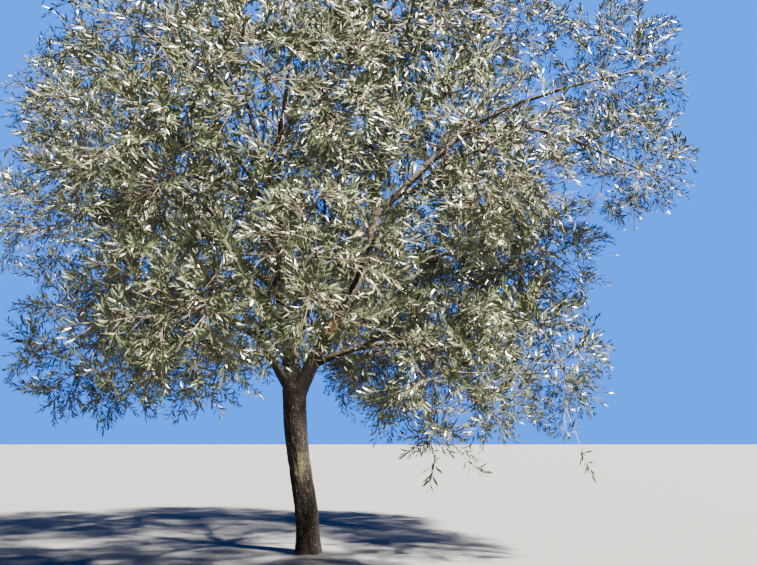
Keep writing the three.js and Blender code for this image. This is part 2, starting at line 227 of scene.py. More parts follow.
@dataclass(frozen=True)
class Trunk:
    """The trunk's sizes in millimetres, which give its centre line and its outline at any height."""

    height: float = 1100
    lean: float = 118
    bow: float = 12
    foot: float = 82
    waist: float = 80
    waist_at: float = 0.7
    swell: float = 5
    swell_onset: float = 6
    flare: float = 9
    flare_height: float = 85
    lobes: int = 5
    lobe_depth: float = 0.13
    flutes: int = 3
    flute_depth: float = 0.035
    flute_twist: float = 3

    def line(self, steps: int) -> Array:
        """The centre line, from the ground to the fork, in metres."""
        t = np.linspace(0, 1, steps + 1)
        x = -self.lean * t + self.bow * np.sin(2 * math.pi * t)
        y = self.bow * np.sin(math.pi * t)
        return np.stack([x, y, self.height * t], axis=1) * MM

    def radius(self, t: float, angle: float) -> float:
        """The radius at a share of the height and an angle round the trunk, in metres."""
        height = t * self.height
        taper = lerp(self.foot, self.waist, min(max(t, 0) / self.waist_at, 1))
        flare = self.flare * math.exp(-max(height, 0) / self.flare_height)
        swell = self.swell * max(t, 0) ** self.swell_onset
        lobes = self.lobe_depth * math.cos(self.lobes * angle) * math.exp(-height / (2 * self.flare_height))
        flutes = self.flute_depth * math.cos(self.flutes * angle + self.flute_twist * t)
        return (taper + flare + swell) * (1 + lobes + flutes) * MM


@dataclass(frozen=True)
class Leafy:
    """The egg of foliage at a limb's tip: the rise of its centre in degrees, its radii in millimetres."""

    rise: float
    reach: float
    spread: float
    height: float


@dataclass(frozen=True)
class Limb:
    """A limb, walked out in steps from a point on its parent's centre line.

    Angles are in degrees and sizes in millimetres. Turn and lift say how much azimuth and rise
    change from root to tip, and root and tip are radii.
    """

    name: str
    parent: str
    at: float
    azimuth: float
    turn: float
    rise: float
    lift: float
    length: float
    root: float
    tip: float
    leafy: Leafy | None = None

    STEPS = 10
    SWAY = 5
    SWAY_TURNS = 1.3
    SWAY_LIFTS = 1.1
    PHASE_STEP = 0.37
    COLLAR_SWELL = 0.35
    COLLAR_REACH = 2.2

    def line(self, start: Array, index: int) -> Array:
        """The limb's points from its start, in metres. The index sets its sway apart from the others'."""
        phase = (index * self.PHASE_STEP) % 1
        points = [start]
        for i in range(self.STEPS):
            t = (i + 0.5) / self.STEPS
            sway = self.SWAY * math.sin(2 * math.pi * (self.SWAY_TURNS * t + phase))
            bob = self.SWAY * math.cos(2 * math.pi * (self.SWAY_LIFTS * t + phase))
            way = heading(self.azimuth + self.turn * t + sway, self.rise + self.lift * t + bob)
            points.append(points[-1] + way * self.length * MM / self.STEPS)
        return np.array(points)

    def radius(self, t: float | Array) -> float | Array:
        """The radius at a share of the length, in metres, with the collar at the root."""
        collar = self.COLLAR_SWELL * np.exp(-t * self.length / (self.COLLAR_REACH * self.root))
        return lerp(self.root, self.tip, t) * (1 + collar) * MM


LIMBS = (
    Limb("right_leader", "trunk", 0.94, 1, 6, 59, 16, 1530, 54, 35),
    Limb("left_leader", "trunk", 0.92, 165, 10, 85, -6, 1870, 50, 27),
    Limb("front_arm", "trunk", 0.96, -112, 12, 36, -30, 1170, 37, 17, Leafy(-8, 660, 640, 550)),
    Limb("back_arm", "trunk", 0.95, 93, -12, 50, -6, 1820, 42, 18, Leafy(25, 680, 730, 680)),
    Limb("right_arm", "right_leader", 0.97, -1, -6, 52, -34, 1680, 31, 14, Leafy(12, 550, 590, 640)),
    Limb("right_drop", "right_arm", 0.5, -25, 10, 18, -50, 830, 16, 11, Leafy(-30, 530, 530, 480)),
    Limb("right_crest", "right_arm", 0.3, 3, 10, 53, 16, 980, 18, 12, Leafy(62, 550, 620, 550)),
    Limb("back_right_arm", "right_arm", 0.12, 40, 10, 30, -14, 1030, 21, 12, Leafy(10, 640, 640, 660)),
    Limb("centre_leader", "right_leader", 0.98, 38, -10, 81, 8, 1370, 27, 14, Leafy(80, 570, 660, 620)),
    Limb("front_crest", "centre_leader", 0.3, -74, -8, 40, -10, 790, 16, 12, Leafy(14, 640, 660, 640)),
    Limb("low_right_arm", "right_leader", 0.18, -9, -4, 19, -26, 1000, 27, 14, Leafy(-10, 620, 590, 570)),
    Limb("low_front_arm", "low_right_arm", 0.4, -60, -16, 16, -40, 810, 17, 11, Leafy(-24, 590, 590, 530)),
    Limb("right_bough", "right_leader", 0.5, -2, 8, 37, -22, 970, 23, 13, Leafy(0, 620, 620, 590)),
    Limb("front_right_bough", "right_leader", 0.62, -71, 10, 33, -20, 1070, 19, 12, Leafy(2, 660, 680, 640)),
    Limb("back_right_bough", "right_leader", 0.32, 40, 10, 28, -18, 1220, 21, 12, Leafy(4, 660, 660, 640)),
    Limb("left_crest", "left_leader", 0.97, 170, 10, 71, -8, 850, 23, 13, Leafy(58, 590, 660, 590)),
    Limb("centre_crest", "left_leader", 0.93, -55, -10, 55, 26, 880, 20, 12, Leafy(72, 570, 640, 590)),
    Limb("left_arm", "left_leader", 0.72, 170, 8, 53, -30, 1240, 22, 12, Leafy(16, 640, 660, 640)),
    Limb("left_bough", "left_leader", 0.42, -166, -8, 44, -28, 1090, 25, 13, Leafy(4, 660, 640, 620)),
    Limb("front_left_crest", "left_leader", 0.64, -122, 10, 52, -24, 1190, 19, 12, Leafy(10, 640, 660, 640)),
    Limb("front_left_bough", "left_leader", 0.28, -121, 14, 49, -34, 1340, 21, 12, Leafy(4, 640, 660, 570)),
    Limb("front_bough", "left_leader", 0.36, -89, 10, 44, -22, 1440, 19, 12, Leafy(20, 620, 660, 620)),
    Limb("low_left_arm", "front_arm", 0.34, -144, -14, 21, -22, 620, 21, 12, Leafy(-8, 590, 590, 530)),
    Limb("low_front_bough", "front_arm", 0.5, -85, 20, 37, -24, 810, 17, 11, Leafy(-4, 590, 620, 530)),
    Limb("back_left_arm", "back_arm", 0.3, 137, 14, 28, -20, 1010, 23, 12, Leafy(2, 640, 660, 640)),
    Limb("back_crest", "back_arm", 0.85, 70, -20, 72, 14, 1050, 19, 12, Leafy(70, 590, 680, 640)),
    Limb("back_left_bough", "back_arm", 0.6, 157, 10, 53, -16, 1210, 19, 12, Leafy(24, 640, 660, 660)),
    Limb("back_low_bough", "back_arm", 0.42, 69, -10, 17, -26, 940, 19, 12, Leafy(-10, 620, 660, 590)),
)


class Skeleton:
    """The centre lines of the trunk and of every limb, in steps and as smooth curves."""

    FINE = 40

    def __init__(self, trunk: Trunk, limbs: tuple[Limb, ...]) -> None:
        self.trunk = trunk
        self.limbs = {limb.name: limb for limb in limbs}
        self.lines = {"trunk": trunk.line(Limb.STEPS)}
        for index, limb in enumerate(limbs):
            start = point_at(self.lines[limb.parent], limb.at)
            self.lines[limb.name] = limb.line(start, index)
        self.smooth = {name: smooth_line(line, self.FINE + 1) for name, line in self.lines.items()}

    def radius(self, name: str, station: Array) -> Array:
        """A limb's radius at shares of its length, or the trunk's at its waist."""
        if name == "trunk":
            return np.full(len(station), self.trunk.waist * MM)
        return self.limbs[name].radius(station)

    def clear_of(self, points: Array, margin: float) -> Array:
        """Which points lie further than a margin outside the trunk and the limbs."""
        clear = np.ones(len(points), bool)
        for name, line in self.lines.items():
            nearest = nearest_on(line, points)
            clear &= nearest.distance > self.radius(name, nearest.station) + margin
        return clear


@dataclass
class Nearest:
    """For each of many points: how far a line is, where on it is nearest, and the offset from there."""

    distance: Array
    station: Array
    offset: Array


def nearest_on(line: Array, points: Array) -> Nearest:
    """Finds where a line comes nearest to each point, with the stations as shares of the line."""
    start, step = line[:-1], np.diff(line, axis=0)
    rel = points[:, None, :] - start[None]
    share = np.clip((rel * step).sum(-1) / (step**2).sum(-1), 0, 1)
    away = rel - share[..., None] * step
    distance = span(away)
    best = distance.argmin(axis=1)
    row = np.arange(len(points))
    return Nearest(distance[row, best], (best + share[row, best]) / len(step), away[row, best])


@dataclass(frozen=True)
class Relief:
    """How far the bark stands in and out, in metres, and how fine its pattern is, in folds a metre."""

    muscle: float
    furrow: float
    muscle_scale: float = 11
    furrow_scale: float = 34
    stretch: float = 0.26
    furrow_edge: float = 2.6
    flake_share: float = 0.45
    flake_scale: float = 75

    def at(self, grain: Vector) -> float:
        """The displacement at a place in the grain."""
        along = Vector((1, 1, self.stretch))
        muscle = noise.noise(grain * along * self.muscle_scale)
        furrow = 1 - self.furrow_edge * abs(noise.noise(grain * along * self.furrow_scale))
        flake = noise.noise(grain * self.flake_scale)
        return self.muscle * muscle - self.furrow * (max(furrow, 0) ** 2 + self.flake_share * flake)


@dataclass
class BarkShell:
    """A closed bark surface swept along limbs and carved in relief along the grain.

    The dome that rounds off the trunk has rings at turns in radians and rises in millimetres. The
    relief fades on thinner limbs by a power, and over the lowest band of the trunk, in metres.
    """

    skeleton: Skeleton

    GRAIN = "grain"
    LIMB_SHIFT = 3.7
    DOME = ((0.3, 14), (0.7, 27), (1.05, 36), (1.3, 41))
    THIN_POWER = 0.75
    FOOT_BAND = 0.02

    def sweep(self, bm: bmesh.types.BMesh, rings: list[tuple[Matrix, list[float]]]) -> None:
        """Adds one closed tube.

        Args:
            bm: The mesh to add to.
            rings: For each ring its place, with Z along the tube, and the radius at each of its sides.
        """
        loops = []
        for matrix, radii in rings:
            made = bmesh.ops.create_circle(bm, segments=len(radii), radius=1)
            for vert, radius in zip(made["verts"], radii):
                vert.co = matrix @ (vert.co * radius)
            loops.append(list({edge for vert in made["verts"] for edge in vert.link_edges}))
        for lower, upper in pairwise(loops):
            bmesh.ops.bridge_loops(bm, edges=lower + upper)
        for loop in (loops[0], loops[-1]):
            bmesh.ops.contextual_create(bm, geom=loop)

    def trunk_rings(self, sides: int, count: int, below: float) -> list[tuple[Matrix, list[float]]]:
        """The trunk's level rings, from below the ground to its rounded top, and their radii."""
        trunk, line = self.skeleton.trunk, self.skeleton.smooth["trunk"]
        angles = [2 * math.pi * side / sides for side in range(sides)]
        rings = []
        for t in (k / count for k in range(count + 1)):
            radii = [trunk.radius(t, angle) for angle in angles]
            rings.append((Matrix.Translation(point_at(line, t)), radii))
        ground = Matrix.Translation((0, 0, -below)), rings[0][1]
        domes = []
        for turn, rise in self.DOME:
            centre = Matrix.Translation(Vector(line[-1]) + Vector((0, 0, rise * MM)))
            domes.append((centre, [radius * math.cos(turn) for radius in rings[-1][1]]))
        return [ground, *rings, *domes]

    def limb_rings(self, name: str, sides: int) -> list[tuple[Matrix, list[float]]]:
        """The rings of one limb and their radii."""
        limb, line = self.skeleton.limbs[name], self.skeleton.smooth[name]
        ahead, side, across = frames_along(line)
        rings = []
        for k, point in enumerate(line):
            matrix = Matrix(np.column_stack([side[k], across[k], -ahead[k]]).tolist()).to_4x4()
            matrix.translation = point
            rings.append((matrix, [float(limb.radius(k / (len(line) - 1)))] * sides))
        return rings

    def grain_of(self, points: Array, names: tuple[str, ...]) -> tuple[Array, Array]:
        """Finds each point's place in the grain of the limb it belongs to.

        Args:
            points: Points on the surface.
            names: The limbs that the surface covers.

        Returns:
            The place in the grain, with Z along the limb, and the limb's radius there.
        """
        best = np.full(len(points), np.inf)
        grain = np.zeros((len(points), 3))
        thick = np.zeros(len(points))
        for shift, name in enumerate(names):
            line = self.skeleton.lines[name]
            length = span(np.diff(line, axis=0)).sum()
            _, side, across = frames_along(line)
            near = nearest_on(line, points)
            radius = self.skeleton.radius(name, near.station)
            level = [dot(near.offset, point_at(axes, near.station)) for axes in (side, across)]
            place = np.column_stack([*level, near.station * length + shift * self.LIMB_SHIFT])
            mine = near.distance - radius < best
            best = np.where(mine, near.distance - radius, best)
            grain = np.where(mine[:, None], place, grain)
            thick = np.where(mine, radius, thick)
        return grain, thick

    def carve(self, mesh: bpy.types.Mesh, names: tuple[str, ...], relief: Relief) -> None:
        """Moves the surface in and out by the relief and stores the grain for the finish.

        Args:
            mesh: The surface.
            names: The limbs that it covers.
            relief: The relief on a limb of the trunk's thickness. It is less on a thinner one.
        """
        count = len(mesh.vertices)
        points, normals = np.empty(count * 3), np.empty(count * 3)
        mesh.vertices.foreach_get("co", points)
        mesh.vertices.foreach_get("normal", normals)
        points, normals = points.reshape(-1, 3), normals.reshape(-1, 3)
        grain, thick = self.grain_of(points, names)
        height = np.array([relief.at(Vector(place)) for place in grain])
        share = (thick / (self.skeleton.trunk.waist * MM)) ** self.THIN_POWER
        above = np.clip(points[:, 2] / self.FOOT_BAND, 0, 1)
        moved = points + normals * (height * share * above)[:, None]
        mesh.vertices.foreach_set("co", moved.ravel())
        attribute = mesh.attributes.new(self.GRAIN, "FLOAT_VECTOR", "POINT")
        attribute.data.foreach_set("vector", grain.astype(np.float32).ravel())
        mesh.polygons.foreach_set("use_smooth", np.ones(len(mesh.polygons), bool))
        mesh.update()


@dataclass
class Frame(BarkShell):
    """The trunk and the thick limbs, grown together at their forks, with sizes in metres."""

    members: tuple[str, ...] = (
        "trunk", "right_leader", "left_leader", "front_arm", "back_arm", "right_arm", "centre_leader",
    )
    voxel: float = 0.0061
    sides: int = 32
    trunk_steps: int = 44
    below: float = 0.03
    smoothing: int = 5
    smoothing_factor: float = 0.5
    relief: Relief = Relief(muscle=0.006, furrow=0.0042)
    knuckle_radius: float = 0.06
    knuckle_station: float = 0.33
    knuckle_stretch: float = 1.7
    knuckle_fineness: int = 3

    def build(self) -> bpy.types.Mesh:
        """Sweeps the limbs, fuses them, cuts the foot flat and carves the bark."""
        bm = bmesh.new()
        self.sweep(bm, self.trunk_rings(self.sides, self.trunk_steps, self.below))
        for name in self.members[1:]:
            self.sweep(bm, self.limb_rings(name, self.sides))
        self.knuckle(bm)
        bmesh.ops.recalc_face_normals(bm, faces=bm.faces)
        bm = self.fuse(mesh_from("rough_frame", bm))
        every_axis = {f"use_axis_{axis}": True for axis in "xyz"}
        for _ in range(self.smoothing):
            bmesh.ops.smooth_vert(bm, verts=bm.verts, factor=self.smoothing_factor, **every_axis)
        cut = bmesh.ops.bisect_plane(
            bm, geom=[*bm.verts, *bm.edges, *bm.faces], plane_co=(0, 0, 0), plane_no=(0, 0, 1),
            clear_inner=True,
        )
        rim = [item for item in cut["geom_cut"] if isinstance(item, bmesh.types.BMEdge)]
        bmesh.ops.holes_fill(bm, edges=rim, sides=0)
        bmesh.ops.recalc_face_normals(bm, faces=bm.faces)
        mesh = mesh_from("frame", bm)
        self.carve(mesh, self.members, self.relief)
        return mesh

    def knuckle(self, bm: bmesh.types.BMesh) -> None:
        """Adds the healed swelling on the right leader where boughs were cut away."""
        line = self.skeleton.smooth["right_leader"]
        ahead, _, _ = frames_along(line)
        k = round(self.knuckle_station * (len(line) - 1))
        turn = Vector(ahead[k]).to_track_quat("Z", "X").to_matrix().to_4x4()
        stretch = Matrix.Diagonal((1, 1, self.knuckle_stretch, 1))
        matrix = Matrix.Translation(Vector(line[k])) @ turn @ stretch
        bmesh.ops.create_icosphere(
            bm, subdivisions=self.knuckle_fineness, radius=self.knuckle_radius, matrix=matrix
        )

    def fuse(self, rough: bpy.types.Mesh) -> bmesh.types.BMesh:
        """Makes one skin round the overlapping tubes."""
        worker = add_object("rough_frame", rough)
        skin = worker.modifiers.new("skin", "REMESH")
        skin.mode = "VOXEL"
        skin.voxel_size = self.voxel
        bm = bmesh.new()
        bm.from_object(worker, bpy.context.evaluated_depsgraph_get())
        bpy.data.objects.remove(worker)
        bpy.data.meshes.remove(rough)
        return bm


@dataclass
class Bough(BarkShell):
    """One of the thinner limbs, a tapering tube with a swollen collar at its root."""

    name: str
    sides: int = 14
    rounding: float = 0.6
    relief: Relief = Relief(muscle=0.006, furrow=0.003, muscle_scale=26, furrow_scale=60)

    def build(self) -> bpy.types.Mesh:
        """Sweeps the bough and carves its bark."""
        bm = bmesh.new()
        self.sweep(bm, self.limb_rings(self.name, self.sides))
        bmesh.ops.subdivide_edges(bm, edges=bm.edges, cuts=1, use_grid_fill=True, smooth=self.rounding)
        bmesh.ops.recalc_face_normals(bm, faces=bm.faces)
        mesh = mesh_from(self.name, bm)
        self.carve(mesh, (self.name,), self.relief)
        return mesh


@dataclass(frozen=True)
class Eye:
    """The camera: its place in metres, its pitch in degrees and its lens in millimetres.

    The picture is taken as 757 by 565 pixels.
    """

    place: tuple[float, float, float] = (0.479, -5.45, 0.786)
    pitch: float = 11.29
    lens: float = 36.33
    sensor: float = 36
    picture: tuple[int, int] = (757, 565)

    def pixels(self, points: Array) -> tuple[Array, Array]:
        """Where the camera sees points, in pixels, and how far away they are."""
        tilt = math.radians(self.pitch)
        forward = np.array([0, math.cos(tilt), math.sin(tilt)])
        upward = np.array([0, -math.sin(tilt), math.cos(tilt)])
        rel = points - np.array(self.place)
        depth = rel @ forward
        focal = self.lens / self.sensor * self.picture[0]
        across = self.picture[0] / 2 + focal * rel[..., 0] / depth
        down = self.picture[1] / 2 - focal * (rel @ upward) / depth
        return np.stack([across, down], axis=-1), depth

    def add(self) -> None:
        """Adds the camera and makes it the scene's."""
        data = bpy.data.cameras.new("camera")
        data.lens = self.lens
        data.sensor_width = self.sensor
        camera = add_object("camera", data)
        camera.location = self.place
        camera.rotation_euler = (math.radians(90 + self.pitch), 0, 0)
        bpy.context.scene.camera = camera


@dataclass
class Rows:
    """Many things of one kind, with an array for each of their measures."""

    def __len__(self) -> int:
        return len(getattr(self, fields(self)[0].name))

    def kept(self, which: Array) -> Self:
        """Only the ones that a mask or a list of numbers picks."""
        return type(self)(*(getattr(self, field.name)[which] for field in fields(self)))

    @classmethod
    def joined(cls, parts: list[Self]) -> Self:
        """One set from several."""
        return cls(*(np.concatenate([getattr(part, field.name) for part in parts]) for field in fields(cls)))


@dataclass
class Twigs(Rows):
    """Many twigs: each a curve from its start over a bend to its end, with a radius at root and tip."""

    start: Array
    bend: Array
    end: Array
    root: Array
    tip: Array

    @classmethod
    def tapering(cls, start: Array, bend: Array, end: Array, root: float, tip: float) -> Self:
        """Twigs that all have the same radii."""
        return cls(start, bend, end, np.full(len(start), root), np.full(len(start), tip))

    def along(self, which: Array, t: Array) -> tuple[Array, Array]:
        """The points and directions at shares of the way along some twigs."""
        a, b, c, s = self.start[which], self.bend[which], self.end[which], t[:, None]
        point = (1 - s) ** 2 * a + 2 * s * (1 - s) * b + s**2 * c
        return point, unit(lerp(b - a, c - b, s))

    def length(self) -> Array:
        """Nearly each twig's length."""
        legs = span(self.bend - self.start) + span(self.end - self.bend)
        return (2 * span(self.end - self.start) + legs) / 3

    def nodes(self, shares: Array) -> tuple[Array, Array]:
        """Points and directions at the same shares of every twig."""
        which = np.repeat(np.arange(len(self)), len(shares))
        return self.along(which, np.tile(shares, len(self)))


@dataclass(frozen=True)
class TwigOrder:
    """One order of twigs inside a mass, with radii and the shortest length in metres.

    Density is in twigs for each cubic metre of the egg. Inner and outer are shares of the way from
    its centre to its skin, and backmost is the cosine furthest back towards the bough. Follow is how
    far a twig keeps its parent's direction, and arch how high it bows, as shares of its length. The
    turn cost is the share by which a way at a right angle to its parent counts as longer.
    """

    density: float
    inner: float
    outer: float
    backmost: float
    follow: float
    arch: float
    root: float
    tip: float
    sides: int
    pieces: int
    shortest: float = 0.05
    turn_cost: float = 0.8


class Mass:
    """The egg that a mass of foliage fills, with the first twigs that the frame's solid has too.

    The stem's numbers are shares of the egg's reach, but for its foot in millimetres, and the radii
    are in metres. A limb with a root radius over thick, in millimetres, points the way by its last
    step alone, and a thinner one by its last two.
    """

    THICK = 30
    SEAT = 0.84
    STEM_FOOT = 30
    STEM_BEND = 0.4
    STEM_REACH = 0.3
    STEM_TIP = 0.006
    TWIGS = 5
    TWIG_REACH = 0.5
    TWIG_REACH_VARIES = 0.06
    TWIG_BACKMOST = -0.72
    TWIG_STATIONS = (0.96, 0.4)
    TWIG_RADII = (0.0065, 0.0035)
    TWIG_FOLLOW = 0.3
    SEED = 5081
    SEED_STEP = 7919
    SPACING = 0.7548776662
    CELL_SLACK = 0.03

    def __init__(self, limb: Limb, index: int, line: Array) -> None:
        leafy = limb.leafy
        azimuth = limb.azimuth + limb.turn
        self.limb = limb
        self.random = Seeded(self.SEED + self.SEED_STEP * index)
        self.tip = line[-1]
        self.ahead = unit(line[-1] - line[-2 if limb.root > self.THICK else -3])
        self.radii = np.array([leafy.reach, leafy.spread, leafy.height]) * MM
        self.centre = self.tip + heading(azimuth, leafy.rise) * self.SEAT * self.radii[0]
        a = math.radians(azimuth)
        self.turned = np.array([[math.cos(a), math.sin(a), 0], [-math.sin(a), math.cos(a), 0], [0, 0, 1]])

    def within(self, aims: Array, shares: Array) -> Array:
        """From directions and shares of the way out to the skin to points."""
        return (aims * self.radii * np.asarray(shares)[:, None]) @ self.turned + self.centre

    def power(self, points: Array) -> Array:
        """How near points are to this mass, against its mean radius. The lowest one owns a point."""
        return ((points - self.centre) ** 2).sum(-1) - self.radii.mean() ** 2

    def owns(self, points: Array, masses: list["Mass"]) -> Array:
        """Which points are on this mass's side of every boundary, or only just past it."""
        mine = self.power(points)
        owned = np.ones(len(points), bool)
        for other in masses:
            if other is not self:
                apart = 2 * span(self.centre - other.centre)
                owned &= (other.power(points) - mine) / apart > -self.CELL_SLACK
        return owned

    def stem(self) -> Twigs:
        """The stem, straight on from the bough's tip and over to just past the egg's centre."""
        reach = self.radii[0]
        foot = self.tip + self.ahead * self.STEM_FOOT * MM
        bend = foot + self.ahead * self.STEM_BEND * reach
        end = self.centre + unit(self.centre - self.tip) * self.STEM_REACH * reach
        return Twigs.tapering(self.tip[None], bend[None], end[None], self.limb.tip * MM, self.STEM_TIP)

    def first_twigs(self, stem: Twigs) -> Twigs:
        """The twigs that the frame's solid shows, by the same seeded rule."""
        self.phase = self.random.next() * 2 * math.pi
        reach = []
        for _ in range(self.TWIGS):
            reach.append(self.TWIG_REACH + self.random.spread(self.TWIG_REACH_VARIES))
            self.random.next()
        share = (np.arange(self.TWIGS) + 0.5) / self.TWIGS
        start, way = stem.along(np.zeros(self.TWIGS, int), lerp(*self.TWIG_STATIONS, share))
        end = self.within(self.aims(self.TWIGS, self.TWIG_BACKMOST, self.phase), reach)
        bend = start + way * self.TWIG_FOLLOW * span(end - start)[:, None]
        return Twigs.tapering(start, bend, end, *self.TWIG_RADII)

    def aims(self, count: int, backmost: float, phase: float) -> Array:
        """Evenly spread directions, from straight on to the backmost cosine."""
        j = np.arange(count)
        forward = lerp(1, backmost, (j + 0.5) / count)
        level, around = np.sqrt(1 - forward**2), phase + j * GOLDEN_TURN
        return np.column_stack([forward, level * np.cos(around), level * np.sin(around)])

    def targets(self, order: TwigOrder) -> Array:
        """Evenly spread places in the egg for the ends of one order of twigs."""
        volume = 4 / 3 * math.pi * self.radii.prod() * (order.outer**3 - order.inner**3)
        count = round(order.density * volume * (1 - order.backmost) / 2)
        aims = self.aims(count, order.backmost, self.phase + self.random.next() * 2 * math.pi)
        shares = np.cbrt(lerp(order.inner**3, order.outer**3, (np.arange(count) * self.SPACING) % 1))
        return self.within(aims, shares)

    def branch(self, nodes: tuple[Array, Array], order: TwigOrder, ends: Array) -> Twigs:
        """Grows a twig to each end from the node that suits it best.

        Args:
            nodes: Points on the twigs of lower orders, and the directions there.
            order: The rule for these twigs.
            ends: Where the twigs end.

        Returns:
            The twigs that aren't too short.
        """
        points, ways = nodes
        reach = ends[:, None] - points[None]
        far = span(reach)
        cosine = (reach * ways[None]).sum(-1) / np.maximum(far, TINY)
        best = (far * (1 + order.turn_cost * (1 - cosine))).argmin(axis=1)
        start, way = points[best], ways[best]
        far = far[np.arange(len(ends)), best][:, None]
        bend = lerp(start, ends, 0.5 - order.follow / 2) + way * order.follow * far + UP * order.arch * far
        twigs = Twigs.tapering(start, bend, ends, order.root, order.tip)
        return twigs.kept(far[:, 0] > order.shortest)


@dataclass
class Leaves(Rows):
    """Many leaves: roots, directions, the normals of their upper faces, lengths and tones."""

    root: Array
    ahead: Array
    face: Array
    length: Array
    tone: Array

    def tips(self) -> Array:
        """Where the leaves end."""
        return self.root + self.ahead * self.length[:, None]


class Tone(Enum):
    """How a spray's leaves are coloured."""

    DEEP = 0
    MIDDLE = 1
    SILVERY = 2
    YELLOWED = 3
    WITHERED = 4


@dataclass
class Sprays(Rows):
    """How each twig's leaves are: their tone, the way to the light, their turn from it and their size."""

    tone: Array
    light: Array
    roll: Array
    size: Array


